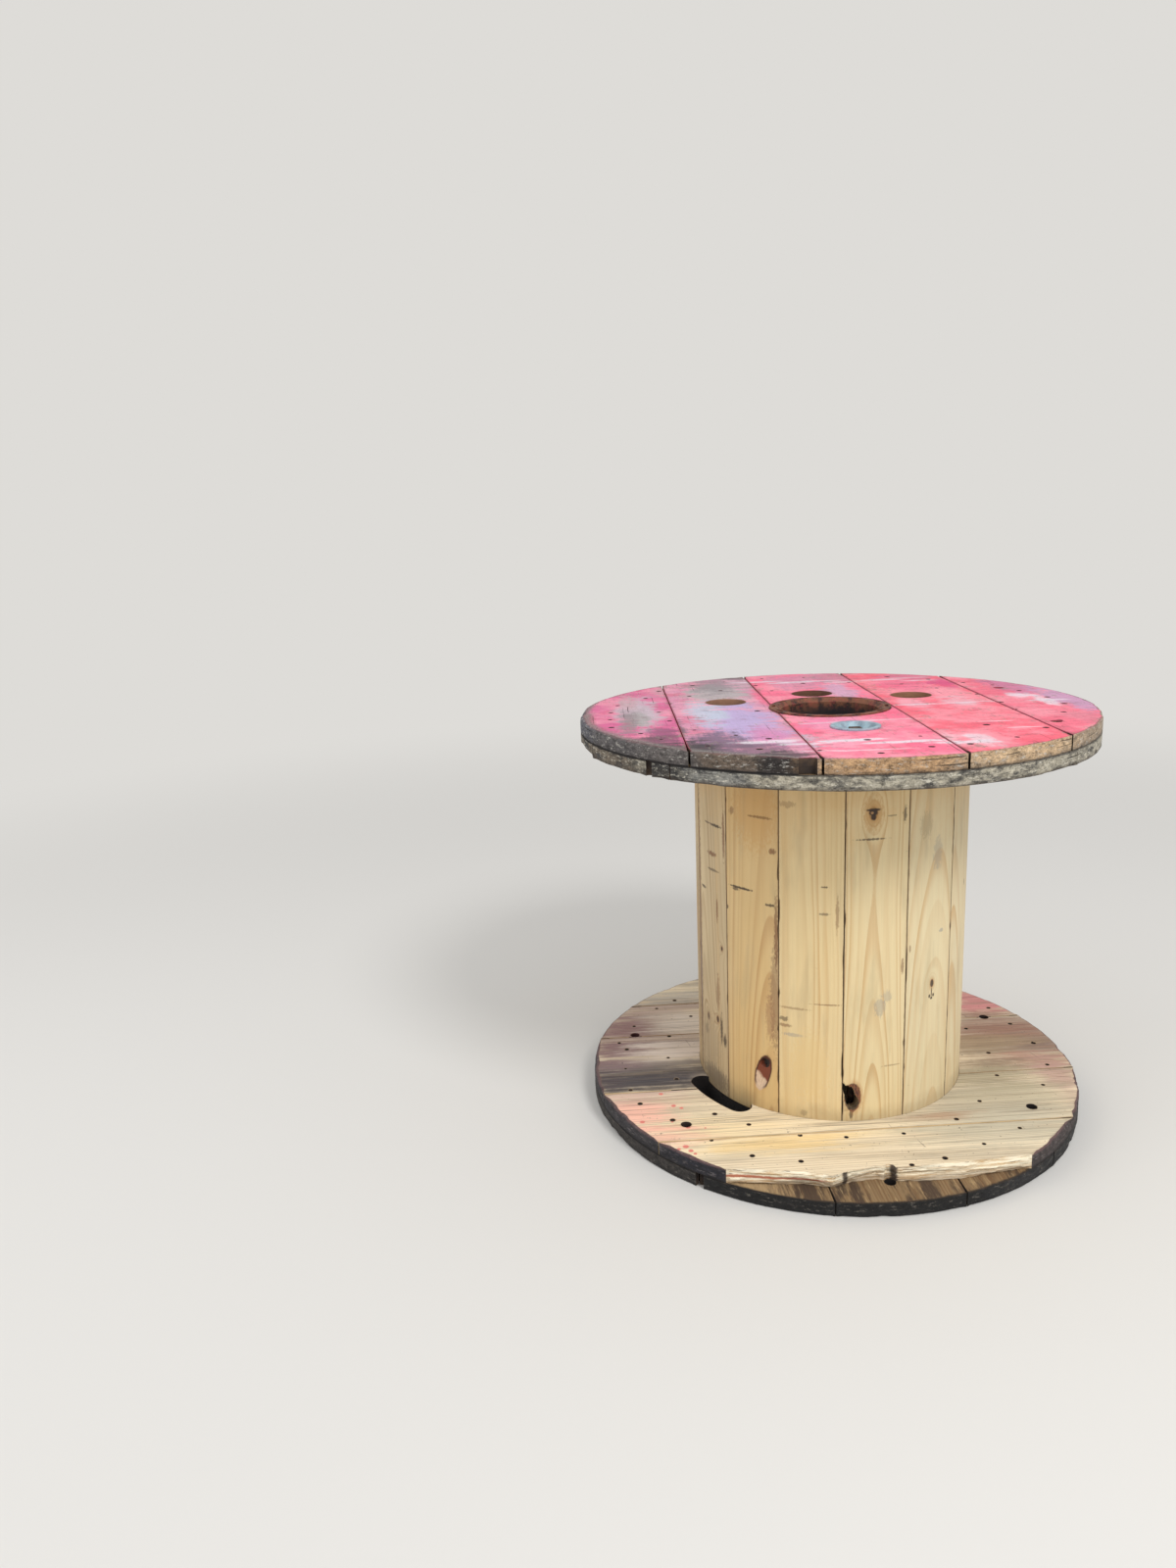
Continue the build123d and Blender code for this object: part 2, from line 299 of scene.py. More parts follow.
def buildPanel(name, loops, settings, place, features, sideWear):
    # A thick panel: a face with relief, rounded edges, worn sides and a plain back
    s = panelMake | settings
    thick = s["thick"]
    arris = s["arris"]
    loops = [densify(ring, s["edgeStep"]) for ring in loops]
    levels = []
    for ring in loops:
        normals = inwardNormals(ring)
        torn = s["torn"](ring) if "torn" in s else np.zeros(len(ring), bool)
        normals[torn] = s.get("tornWay", (0, 0))
        # Close to a sharp corner the sides move in only a little, so that they don't cross
        corners = sharpCorners(ring, s["corner"]) & ~torn
        step = np.linalg.norm(ring - np.roll(ring, 1, axis=0), axis=1)
        step = np.minimum(step, np.roll(step, -1))
        limit = np.where(corners, np.minimum(s["cornerMost"], s["cornerShare"] * step), s["sideLeast"])
        limit = limit + s["sideGain"] * nearestGap(ring, ring[corners])
        soft = np.minimum(s["rounding"](ring), limit)
        low = features.waves(ring + normals * soft[:, None])
        rows = [(low + soft * deep, soft * inset) for deep, inset in s["round"]]
        start = low + soft
        for k in range(1, s["wallSteps"]):
            rows.append((start + (thick - arris - start) * k / s["wallSteps"], 0 * soft))
        for share in s["backRound"]:
            rows.append((thick - (1 - share) * arris + 0 * soft, share * arris + 0 * soft))
        moved = [np.clip(inset + sideWear(ring, depth), -limit, limit) for depth, inset in rows]
        levels.append([(row[0], ring + normals * shift[:, None]) for row, shift in zip(rows, moved)])
    levelCount = len(levels[0])

    # The edge and the walls: kind 0 is the face, 1 a side and 2 the back
    vertices, cavity, edge, rim, faces, kinds, starts = ([] for _ in range(7))
    total = 0
    for number in range(levelCount):
        starts.append([])
        for ring, rows in zip(loops, levels):
            depth, moved = rows[number]
            if number == 0:
                depth = np.maximum(depth, features.relief(moved))
            starts[-1].append(total)
            vertices.append(place(moved, depth))
            cavity.append(np.zeros(len(ring)))
            edge.append(np.zeros(len(ring)))
            rim.append((polar(ring)[0] > rimFrom).astype(float))
            total += len(ring)
    for number in range(levelCount - 1):
        for which, ring in enumerate(loops):
            n = len(ring)
            a, b = starts[number][which], starts[number + 1][which]
            for k in range(n):
                m = (k + 1) % n
                faces.append((a + k, a + m, b + m, b + k))
                kinds.append(1)

    # The face and the back: a grid of points, with more where the relief is
    top = [rows[0][1] for rows in levels]
    outer = top[0]
    inner = hexGrid(outer.min(axis=0), outer.max(axis=0), s["spacing"])
    special = features.points()
    edgePoints = np.concatenate(top)
    if len(special):
        special = special[insideLoops(special, top)]
        special = special[nearestGap(special, edgePoints) > s["reliefToEdge"]]
        inner = inner[nearestGap(inner, special) > s["gridToRelief"] * s["spacing"]]
    inner = inner[insideLoops(inner, top)]
    inner = inner[nearestGap(inner, edgePoints) > s["gridToEdge"] * s["spacing"]]
    if len(special):
        inner = np.concatenate((inner, special))
    bottom = [rows[-1][1] for rows in levels]
    for level, rings, extra in ((0, top, inner), (levelCount - 1, bottom, np.zeros((0, 2)))):
        spots, triangles, origin = capTriangles(rings, extra)
        ringCount = sum(len(ring) for ring in rings)
        lookup = np.zeros(len(spots), int)
        fresh = []
        for index, source in enumerate(origin):
            if 0 <= source < ringCount:
                lookup[index] = starts[level][0] + source
            else:
                lookup[index] = total + len(fresh)
                fresh.append(index)
        if fresh:
            added = spots[fresh]
            depth = features.relief(added) if level == 0 else np.full(len(added), thick)
            vertices.append(place(added, depth))
            cavity.append(features.cavity(added) if level == 0 else np.zeros(len(added)))
            edge.append(nearestGap(added, edgePoints))
            rim.append(np.zeros(len(added)))
            total += len(fresh)
        for triangle in lookup[triangles]:
            faces.append(tuple(int(v) for v in triangle))
            kinds.append(0 if level == 0 else 2)
    values = {"cavity": np.concatenate(cavity), "edge": np.concatenate(edge), "rim": np.concatenate(rim)}
    return finishMesh(name, np.concatenate(vertices), faces, kinds, values, s["crease"])


def finishMesh(name, vertices, faces, kinds, values, crease):
    mesh = bpy.data.meshes.new(name)
    mesh.from_pydata((vertices * mm).tolist(), [], faces)
    mesh.polygons.foreach_set("material_index", kinds)
    for label, numbers in values.items():
        layer = mesh.attributes.new(label, "FLOAT", "POINT")
        layer.data.foreach_set("value", numbers.astype(np.float32))
    tidy = bmesh.new()
    tidy.from_mesh(mesh)
    bmesh.ops.recalc_face_normals(tidy, faces=tidy.faces)
    tidy.to_mesh(mesh)
    tidy.free()
    mesh.shade_smooth()
    mesh.set_sharp_from_angle(angle=math.radians(crease))
    piece = bpy.data.objects.new(name, mesh)
    scene.collection.objects.link(piece)
    return piece


# Rings of mesh points in a pit and in a hollow, as (share of its radius, count)
pitRings = ((1.12, 11), (0.8, 9), (0.4, 5))
hollowRings = ((1.08, 26), (0.88, 22), (0.6, 16), (0.3, 8))


class Features:
    # Pits, hollows, cracks and waves on a panel's face, all as depth below it
    def __init__(self):
        self.pits = []
        self.hollows = []
        self.cracks = []
        self.waves = lambda points: np.zeros(len(points))

    def pit(self, x, y, radius, depth):
        self.pits.append((x, y, radius, depth))

    def hollow(self, middle, radii, lean, depth):
        self.hollows.append((middle, radii, math.radians(lean), depth))

    def crack(self, path, width, depth):
        self.cracks.append((np.array(path, float), width, depth))

    def points(self):
        # Mesh points that carry the relief
        spots = []
        for x, y, radius, _ in self.pits:
            for share, count in pitRings:
                spots.append(unitRing(count, share) * radius * share + (x, y))
            spots.append(np.array([[x, y]]))
        for middle, radii, lean, _ in self.hollows:
            c, s = math.cos(lean), math.sin(lean)
            for share, count in hollowRings:
                ring = unitRing(count, share) * radii * share
                spots.append(ring @ np.array(((c, s), (-s, c))) + middle)
        for path, width, _ in self.cracks:
            for a, b in zip(path[:-1], path[1:]):
                count = max(2, int(np.linalg.norm(b - a) / 5))
                t = np.linspace(0, 1, count, endpoint=False)[:, None]
                middle = a + (b - a) * t
                across = np.array((-(b - a)[1], (b - a)[0])) / np.linalg.norm(b - a)
                for side in (-1.3, 0, 1.3):
                    spots.append(middle + across * side * width / 2)
        return np.concatenate(spots) if spots else np.zeros((0, 2))

    def relief(self, points):
        depth = self.waves(points)
        for x, y, radius, deep in self.pits:
            far = np.hypot(points[:, 0] - x, points[:, 1] - y) / radius
            depth = np.maximum(depth, deep * (1 - smoothStep(0.35, 1.0, far)))
        for middle, radii, lean, deep in self.hollows:
            far = self.share(points, middle, radii, lean)
            depth = np.maximum(depth, deep * (1 - smoothStep(0.62, 1.0, far)))
        for path, width, deep in self.cracks:
            depth = np.maximum(depth, deep * self.along(points, path, width))
        return depth

    def share(self, points, middle, radii, lean):
        c, s = math.cos(lean), math.sin(lean)
        turned = (points - np.array(middle)) @ np.array(((c, -s), (s, c)))
        return np.hypot(turned[:, 0] / radii[0], turned[:, 1] / radii[1])

    def along(self, points, path, width):
        gap = np.full(len(points), 1e9)
        span = np.zeros(len(points))
        for number, (a, b) in enumerate(zip(path[:-1], path[1:])):
            t = np.clip((points - a) @ (b - a) / ((b - a) @ (b - a)), 0, 1)
            near = np.linalg.norm(points - a - t[:, None] * (b - a), axis=1)
            closer = near < gap
            gap = np.where(closer, near, gap)
            span = np.where(closer, (number + t) / (len(path) - 1), span)
        taper = np.clip(4 * span * (1 - span) + 0.15, 0, 1)
        return (gap < 0.6 * width * taper).astype(float)

    def cavity(self, points):
        shade = np.zeros(len(points))
        for x, y, radius, _ in self.pits:
            far = np.hypot(points[:, 0] - x, points[:, 1] - y) / radius
            shade = np.maximum(shade, 1 - smoothStep(0.55, 1.1, far))
        for path, width, _ in self.cracks:
            shade = np.maximum(shade, self.along(points, path, width))
        return shade


def adopt(piece, nodeNames, materials):
    for material in materials:
        piece.data.materials.append(material)
    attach(piece, "root")
    if nodeNames:
        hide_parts(*nodeNames)


# Materials are written as recipes: a small wrapper keeps the node trees short
class Recipe:
    def __init__(self, name):
        self.material = bpy.data.materials.new(name)
        self.material.use_nodes = True
        self.tree = self.material.node_tree
        self.tree.nodes.clear()
        self.coords = self.tree.nodes.new("ShaderNodeTexCoord").outputs["Object"]

    def put(self, socket, value):
        if isinstance(value, bpy.types.NodeSocket):
            self.tree.links.new(value, socket)
        elif isinstance(value, str):
            socket.default_value = (*srgb(value), 1)
        else:
            socket.default_value = value

    def math(self, how, a, b=0.0, c=0.0):
        node = self.tree.nodes.new("ShaderNodeMath")
        node.operation = how
        for socket, value in zip(node.inputs, (a, b, c)):
            self.put(socket, value)
        return node.outputs[0]

    def add(self, a, b):
        return self.math("ADD", a, b)

    def sub(self, a, b):
        return self.math("SUBTRACT", a, b)

    def mul(self, a, b):
        return self.math("MULTIPLY", a, b)

    def swing(self, noise, span):
        # A noise as a swing about zero
        return self.mul(self.sub(noise, 0.5), span)

    def apart(self, a, b):
        return self.math("ABSOLUTE", self.sub(a, b))

    def most(self, a, b):
        return self.math("MAXIMUM", a, b)

    def least(self, a, b):
        return self.math("MINIMUM", a, b)

    def vector(self, how, a, b=(0, 0, 0)):
        node = self.tree.nodes.new("ShaderNodeVectorMath")
        node.operation = how
        self.put(node.inputs[0], a)
        if how == "SCALE":
            self.put(node.inputs["Scale"], b)
        else:
            self.put(node.inputs[1], b)
        return node.outputs["Value" if how == "LENGTH" else "Vector"]

    def flatGap(self, point, middle=(0, 0), radii=(1000, 1000)):
        # How far a point lies from a middle in X and Y: in metres, or as a share of the radii
        near = self.vector("SUBTRACT", point, (middle[0] * mm, middle[1] * mm, 0))
        near = self.vector("MULTIPLY", near, (1 / (radii[0] * mm), 1 / (radii[1] * mm), 0))
        return self.vector("LENGTH", near)

    def turn(self, point, angle):
        node = self.tree.nodes.new("ShaderNodeVectorRotate")
        node.rotation_type = "Z_AXIS"
        self.put(node.inputs["Vector"], point)
        node.inputs["Angle"].default_value = math.radians(angle)
        return node.outputs[0]

    def split(self, point):
        node = self.tree.nodes.new("ShaderNodeSeparateXYZ")
        self.put(node.inputs[0], point)
        return node.outputs

    def join(self, x=0.0, y=0.0, z=0.0):
        node = self.tree.nodes.new("ShaderNodeCombineXYZ")
        for socket, value in zip(node.inputs, (x, y, z)):
            self.put(socket, value)
        return node.outputs[0]

    def noise(self, point, scale=1.0, detail=2.0, rough=0.5):
        # A scale of three numbers stretches the noise
        if isinstance(scale, tuple):
            point = self.vector("MULTIPLY", point, scale)
            scale = 1.0
        node = self.tree.nodes.new("ShaderNodeTexNoise")
        self.put(node.inputs["Vector"], point)
        node.inputs["Scale"].default_value = scale
        node.inputs["Detail"].default_value = detail
        node.inputs["Roughness"].default_value = rough
        return node.outputs["Fac"]

    def step(self, low, high, value, to=(0.0, 1.0)):
        node = self.tree.nodes.new("ShaderNodeMapRange")
        node.interpolation_type = "SMOOTHSTEP"
        node.clamp = True
        for socket, number in zip(node.inputs, (value, low, high, *to)):
            self.put(socket, number)
        return node.outputs[0]

    def mix(self, amount, a, b, how="MIX"):
        node = self.tree.nodes.new("ShaderNodeMix")
        node.data_type = "RGBA"
        node.blend_type = how
        node.clamp_factor = True
        self.put(node.inputs[0], amount)
        self.put(node.inputs[6], a)
        self.put(node.inputs[7], b)
        return node.outputs[2]

    def lay(self, colour, mask, strength, tint):
        # Lays a tint over a colour where the mask is, at a strength
        return self.mix(self.mul(mask, strength), colour, tint)

    def shade(self, colour, factor):
        # Brightens or darkens a colour by a factor about 1
        return self.mix(1.0, colour, self.join(factor, factor, factor), "MULTIPLY")

    def attribute(self, name, kind="Fac"):
        node = self.tree.nodes.new("ShaderNodeAttribute")
        node.attribute_name = name
        return node.outputs[kind]

    def finish(self, colour, roughness, height=None, depth=0.001, strength=1.0, metallic=0.0):
        shader = self.tree.nodes.new("ShaderNodeBsdfPrincipled")
        output = self.tree.nodes.new("ShaderNodeOutputMaterial")
        self.put(shader.inputs["Base Color"], colour)
        self.put(shader.inputs["Roughness"], roughness)
        self.put(shader.inputs["Metallic"], metallic)
        if height is not None:
            bump = self.tree.nodes.new("ShaderNodeBump")
            bump.inputs["Strength"].default_value = strength
            bump.inputs["Distance"].default_value = depth
            self.put(bump.inputs["Height"], height)
            self.tree.links.new(bump.outputs["Normal"], shader.inputs["Normal"])
        self.tree.links.new(shader.outputs[0], output.inputs[0])
        return self.material


def srgb(code):
    # Colours are written as they are seen, in hexadecimal
    def linear(value):
        value /= 255
        return value / 12.92 if value <= 0.04045 else ((value + 0.055) / 1.055) ** 2.4
    return tuple(linear(part) for part in bytes.fromhex(code))


def woodGrain(r, point, local, wood, knots=()):
    # Softwood: growth rings about a pith line, bent round the knots, with fibres and streaks.
    # X runs along the grain, Y across the face and Z out of it.
    x, y, z = r.split(point)
    wander = r.swing(r.noise(point, (1.7, 9.0, 9.0), 2.0, 0.5), wood["wobble"])
    sway = r.swing(r.noise(point, (1.1, 0.5, 0.5), 1.0, 0.5), wood["sway"])
    across = r.add(r.add(y, r.mul(x, wood["tilt"])), r.add(wander, wood["pithAcross"]))
    deep = r.add(r.add(z, r.mul(x, wood["rise"])), r.add(sway, wood["pithDepth"]))
    gap = r.math("SQRT", r.add(r.mul(across, across), r.mul(deep, deep)))
    hearts = []
    for along, side, radius, kind in knots:
        near = r.vector("SUBTRACT", local, (along * mm, side * mm, 0))
        near = r.vector("MULTIPLY", near, (0.6, 1.0, 0.3))
        shiver = r.noise(local, 70.0, 2.0)
        far = r.add(r.vector("LENGTH", near), r.swing(shiver, 0.35 * radius * mm))
        share = r.mul(far, 1 / (2.8 * radius * mm))
        bend = r.math("DIVIDE", 1.0, r.add(1.0, r.mul(share, share)))
        gap = r.sub(gap, r.mul(r.mul(bend, bend), 3.5 * wood["ring"]))
        hearts.append((far, radius, kind))
    uneven = r.swing(r.noise(r.join(r.mul(gap, 75.0), wood["pithDepth"] * 40, 0.0), 1.0, 1.0), 2.2)
    count = r.add(r.mul(gap, 1 / wood["ring"]), uneven)
    rings = r.math("FRACT", count)
    force = r.noise(r.join(r.mul(r.math("FLOOR", count), 3.7), 0.5, 0.5), 1.0, 0.0)
    late = r.mul(r.step(0.3, 0.93, rings), r.step(1.0, 0.94, rings))
    late = r.mul(late, r.step(0.25, 0.7, force, (0.25, 1.0)))
    fibre = r.noise(point, (10.0, 380.0, 380.0), 3.0, 0.65)
    streak = r.noise(point, (1.6, 55.0, 55.0), 3.0, 0.6)
    tone = r.noise(point, (2.2, 9.0, 9.0), 2.0, 0.5)
    colour = r.lay(wood["early"], late, wood["ringShow"], wood["late"])
    colour = r.lay(colour, r.step(0.48, 0.75, streak), wood["streakShow"], wood["streak"])
    colour = r.lay(colour, r.step(0.4, 0.72, tone), wood["toneShow"], wood["tone"])
    colour = r.shade(colour, r.add(1 - 0.5 * wood["fibreShow"], r.mul(fibre, wood["fibreShow"])))
    height = r.add(r.mul(late, 0.4), r.mul(fibre, 0.6))
    for far, radius, kind in hearts:
        core = r.step(1.1 * radius * mm, 0.92 * radius * mm, far)
        halo = r.step(2.3 * radius * mm, 0.95 * radius * mm, far)
        lines = r.step(0.3, 0.9, r.math("FRACT", r.mul(far, 560.0)))
        inside = r.lay(wood["knot"], lines, 0.55, wood["knotDark"])
        if kind == "dead":
            inside = r.mix(r.step(1.05 * radius * mm, 0.7 * radius * mm, far), inside, wood["knotDark"])
        colour = r.lay(colour, halo, 0.4, wood["late"])
        colour = r.lay(colour, core, 0.9, inside)
    return {"colour": colour, "height": height, "fibre": fibre, "late": late}


freshPine = {
    "early": "e4ce9e",
    "late": "c49860",
    "streak": "d0aa72",
    "tone": "e8d2a6",
    "knot": "a86838",
    "knotDark": "301c14",
    "ring": 0.0058,
    "ringShow": 0.6,
    "streakShow": 0.35,
    "toneShow": 0.4,
    "fibreShow": 0.18,
    "wobble": 0.016,
    "sway": 0.03,
    "tilt": 0.008,
    "rise": 0.03,
    "pithAcross": 0.01,
    "pithDepth": 0.06,
}
oldPine = freshPine | {
    "early": "9e9484",
    "late": "584a3e",
    "streak": "4e443c",
    "tone": "b8a88e",
    "ringShow": 0.8,
    "streakShow": 0.6,
    "fibreShow": 0.5,
}
# Pine for the lower flange's face, whose early wood is brightened as painted sunlight
tanPine = freshPine | {
    "early": "f0dfc0",
    "late": "b2906a",
    "streak": "ac9678",
    "tone": "eedec0",
    "streakShow": 0.5,
    "fibreShow": 0.32,
}

# Flange boards. In mm: the radius of the nail pits, how far each side of a seam has drawn
# back at the rim (opening), and how much its edge is worn there
layers = {
    "top_outer": {
        "direction": 101.6, "low": drum["height"] - drum["board"], "face": "up", "pit": 4.8, "opening": 1.0,
        "seamWear": 0.9,
    },
    "top_inner": {
        "direction": 11.6, "low": upperBottom, "face": "down", "pit": 4.8, "opening": 0.4, "seamWear": 0.9,
    },
    "bottom_inner": {
        "direction": 14.5, "low": drum["board"], "face": "up", "pit": 4.4, "opening": 0.3, "seamWear": 0.5,
    },
    "bottom_outer": {
        "direction": 104.5, "low": 0.0, "face": "down", "pit": 4.8, "opening": 0.0, "seamWear": 0.5,
    },
}
boardCount = 5
brokenBoard = "bottom_inner_board_1"

# Clinched nails, in two rings: those that show are listed as (azimuth, radius)
nailPlan = {
    "top_outer": [
        (-172.8, 401), (-162, 405), (-151.2, 420), (-139.9, 402), (161.6, 379), (175.7, 401), (-9.5, 395),
        (26.9, 398), (-67.7, 395), (-79.8, 421), (-36.5, 311), (-6.3, 317), (-107.2, 318), (-163.5, 134),
        (119, 236), (3.5, 408), (60, 402), (48, 396), (73, 410),
    ],
    "top_inner": [],
    "bottom_inner": [
        (2.1, 412), (14.7, 415), (27.2, 416), (38.1, 428), (-9.8, 396), (-35.1, 398), (-48.1, 389),
        (-60.7, 393), (-95.8, 388), (-107.4, 399), (-119.2, 392), (-133, 390), (-144.6, 408), (154.2, 404),
        (168.4, 406), (179.9, 415), (-7.4, 316), (9.3, 314), (29.1, 320), (-28.1, 306), (-43.7, 309),
        (-64.5, 304), (-83.4, 302), (-98, 308), (-115.1, 311), (-127.4, 320), (153, 320), (172, 321),
    ],
    "bottom_outer": [],
}
nailRings = [(402, 12.0, 2.5, 8.0), (312, 18.0, 9.3, 7.0)]  # radius, step, first azimuth, scatter
nailSeed = 40


def nailSpots(layerName):
    draw = np.random.RandomState(nailSeed + list(layers).index(layerName))
    known = nailPlan[layerName]
    spots = [(*onCircle(radius, azimuth), draw.uniform(0.85, 1.25)) for azimuth, radius in known]
    for radius, step, first, scatter in nailRings:
        for k in range(round(360 / step)):
            azimuth = (first + k * step + 180) % 360 - 180 + draw.uniform(-2, 2)
            far = radius + draw.uniform(-1, 1) * scatter
            taken = [abs(azimuth - a) < 0.6 * step and abs(far - q) < 40 for a, q in known]
            if not any(taken):
                spots.append((*onCircle(far, azimuth), draw.uniform(0.7, 1.2)))
    return spots


grooveSeat = {
    "inner": drum["staveInner"] - drum["grooveSlack"],
    "outer": drum["barrelRadius"] + drum["grooveSlack"],
    "depth": drum["grooveDepth"],
}
boardSeats = {  # the outer layers are bored for the bushings' rings
    "top_outer": {"inner": 0, "outer": 109.5, "depth": 1.5},
    "top_inner": grooveSeat,
    "bottom_inner": grooveSeat,
    "bottom_outer": {"inner": 0, "outer": 109.5, "depth": 4.0},
}

# The front board of the lower flange has split off along its grain
splitEdge = {"radius": 454.5, "across": -284.0, "edgeStep": 2.6, "wallSteps": 16}
bareNails = ((-72.0, -288.5), (11.0, -289.5))  # left standing in the break: along and across the grain


def brokenOff(ring):
    across = onCircle(1, layers["bottom_inner"]["direction"] + 90)
    return (polar(ring)[0] < splitEdge["radius"]) & (ring @ across < splitEdge["across"])


def splitShift(ring, depth, seed):
    # Torn fibres: long ledges along the grain, and short steps across it
    along = ring @ onCircle(1, layers["bottom_inner"]["direction"])
    flat = np.zeros(len(ring))
    ledge = smoothNoise(np.column_stack((along / 42.0, depth / 4.2, flat)), seed)
    ledge = np.round(ledge * 3) / 3 * 0.85 + ledge * 0.15
    fibre = smoothNoise(np.column_stack((along / 11.0, depth / 1.5, flat)), seed + 1)
    fine = smoothNoise(np.column_stack((along / 3.1, depth / 6.0, flat)), seed + 2)
    lean = 2.2 * np.sin(depth / drum["board"] * math.pi + along / 60.0)
    return 1.6 + 2.6 * ledge + 0.9 * fibre + 0.35 * fine + lean


def turnedRing(inner, outer, low, high, count=160):
    # A ring, or a disc where its inner radius is 0, as a closed mesh for cutting
    cutter = bmesh.new()
    sides = []
    for radius in (outer, inner):
        for height in (low, high):
            if radius:
                spots = [(x * radius * mm, y * radius * mm, height * mm) for x, y in unitRing(count)]
                sides.append([cutter.verts.new(spot) for spot in spots])
            else:
                sides.append([cutter.verts.new((0, 0, height * mm))] * count)
    outerLow, outerHigh, innerLow, innerHigh = sides
    for k in range(count):
        m = (k + 1) % count
        cutter.faces.new((outerLow[k], outerLow[m], outerHigh[m], outerHigh[k]))
        if inner:
            cutter.faces.new((innerLow[m], innerLow[k], innerHigh[k], innerHigh[m]))
            cutter.faces.new((outerHigh[k], outerHigh[m], innerHigh[m], innerHigh[k]))
            cutter.faces.new((outerLow[m], outerLow[k], innerLow[k], innerLow[m]))
        else:
            cutter.faces.new((outerHigh[k], outerHigh[m], innerHigh[0]))
            cutter.faces.new((outerLow[m], outerLow[k], innerLow[0]))
    bmesh.ops.recalc_face_normals(cutter, faces=cutter.faces)
    mesh = bpy.data.meshes.new("cutter")
    cutter.to_mesh(mesh)
    cutter.free()
    ring = bpy.data.objects.new("cutter", mesh)
    scene.collection.objects.link(ring)
    return ring


def cutAway(piece, cutter):
    change = piece.modifiers.new("cut", "BOOLEAN")
    change.operation = "DIFFERENCE"
    change.solver = "MANIFOLD"
    change.object = cutter
    graph = bpy.context.evaluated_depsgraph_get()
    old = piece.data
    fresh = bpy.data.meshes.new_from_object(piece.evaluated_get(graph))
    piece.modifiers.clear()
    piece.data = fresh
    fresh.name = piece.name
    bpy.data.meshes.remove(old)
    bpy.data.objects.remove(cutter)
    fresh.set_sharp_from_angle(angle=math.radians(panelMake["crease"]))


# Corners worn away along the rim: middle azimuth, half its reach, how far in, and down to what depth
wornCorners = {
    "top_inner": [(-160, 9, 5.0, 14.0), (-40, 7, 2.5, 9.0), (95, 12, 3.0, 10.0)],
    "bottom_inner": [(-28, 9, 4.0, 12.0)],
}
# How round a face's rim is worn, in mm: everywhere, and then more between two azimuths
rimRounding = {
    "top_outer": (2.0, 6.5, -178, -97), "top_inner": (3.0, 4.5, -178, -120),
    "bottom_inner": (3.0, 5.5, -178, -118), "bottom_outer": (3.0, 3.0, -180, 0),
}
wearFrom = 130  # the seams are left straight inside this radius


def boardRounding(layerName, seed):
    plain, more, first, last = rimRounding[layerName]

    def rounding(ring):
        radius, azimuth = polar(ring)
        share = smoothStep(first - 6, first + 6, azimuth) * smoothStep(last + 6, last - 6, azimuth)
        onRim = plain + (more - plain) * share
        onRim = onRim * (1 + 0.35 * smoothNoise(np.column_stack((ring / 25.0, np.zeros(len(ring)))), seed))
        return 0.5 + (onRim - 0.5) * (radius > rimFrom)
    return rounding


def boardWear(layerName, seed, nodeName):
    # Inward wear of a board's sides: rough and chipped along the rim, finer along the seams
    layer = layers[layerName]
    upward = layer["face"] == "up"

    def wear(ring, depth):
        radius, azimuth = polar(ring)
        rim = radius > rimFrom
        level = layer["low"] + (drum["board"] - depth if upward else depth)
        spots = np.column_stack((ring / 18.0, level / 7.0))
        broad = np.column_stack((ring / 45.0, level / 60.0))
        fine = np.column_stack((ring / 5.0, level / 3.0))
        rough = 0.55 * np.abs(smoothNoise(spots, seed)) + 0.4 * np.abs(smoothNoise(fine, seed + 3))
        chipped = smoothStep(0.15, 0.7, smoothNoise(broad, seed + 7))
        near = np.maximum(0.0, 1 - depth / 9.0)
        onRim = 0.15 + rough + chipped * (0.6 + 2.6 * near) * (0.4 + np.abs(smoothNoise(spots, seed + 9)))
        opened = smoothStep(425, 457, radius) * layer["seamWear"]
        onSeam = 0.15 * np.abs(smoothNoise(spots, seed + 5)) + 0.3 * chipped * near + opened
        shift = np.where(rim, onRim, np.where(radius < wearFrom, 0.0, onSeam))
        for middle, reach, cut, height in wornCorners.get(layerName, []):
            close = 1 - smoothStep(0.7 * reach, reach, np.abs(azimuth - middle))
            shift = shift + rim * close * cut * smoothStep(height, 0, depth)
        if nodeName == brokenBoard:
            shift = np.where(brokenOff(ring), splitShift(ring, depth, seed), shift)
        return shift
    return wear


# Where the seams open, in mm: a board's seams are looked for beyond a radius, one that is
# narrow there has a seam on one side only, and they open between two radii
seamMake = {"seekFrom": 300, "narrow": 40, "width": 26.0, "openFrom": 395, "openTo": 457}


def openSeams(ring, layerName):
    # The boards have shrunk apart at the rim
    s = seamMake
    layer = layers[layerName]
    across = onCircle(1, layer["direction"] + 90)
    radius = polar(ring)[0]
    side = ring @ across
    seams = side[(radius > s["seekFrom"]) & (radius < rimFrom)]
    ends = [seams.min(), seams.max()] if np.ptp(seams) > s["narrow"] else [seams.mean()]
    opened = smoothStep(s["openFrom"], s["openTo"], radius)
    shift = np.zeros(len(ring))
    for seam in ends:
        near = 1 - smoothStep(1.0, s["width"], np.abs(side - seam))
        shift = shift + math.copysign(1, side.mean() - seam) * near * opened * layer["opening"]
    moved = ring + shift[:, None] * across
    return moved * np.where(radius > rimFrom, radius / polar(moved)[0], 1)[:, None]


# How a board is dressed, in mm. The drying checks run in from the rim
boardMake = {
    "thick": drum["board"], "arris": 0.8, "edgeStep": 4.0, "wallSteps": 6, "spacing": 8.0,
    "pitDepth": 3.4, "sunk": 0.5, "cup": 0.35, "ripple": 0.2,
    "checks": {"up": 5, "down": 2}, "checkRadius": (330, 440), "checkLength": (40, 110),
    "checkDepth": (1.0, 2.2), "checkWidth": 0.9, "checkStray": 0.8,
}


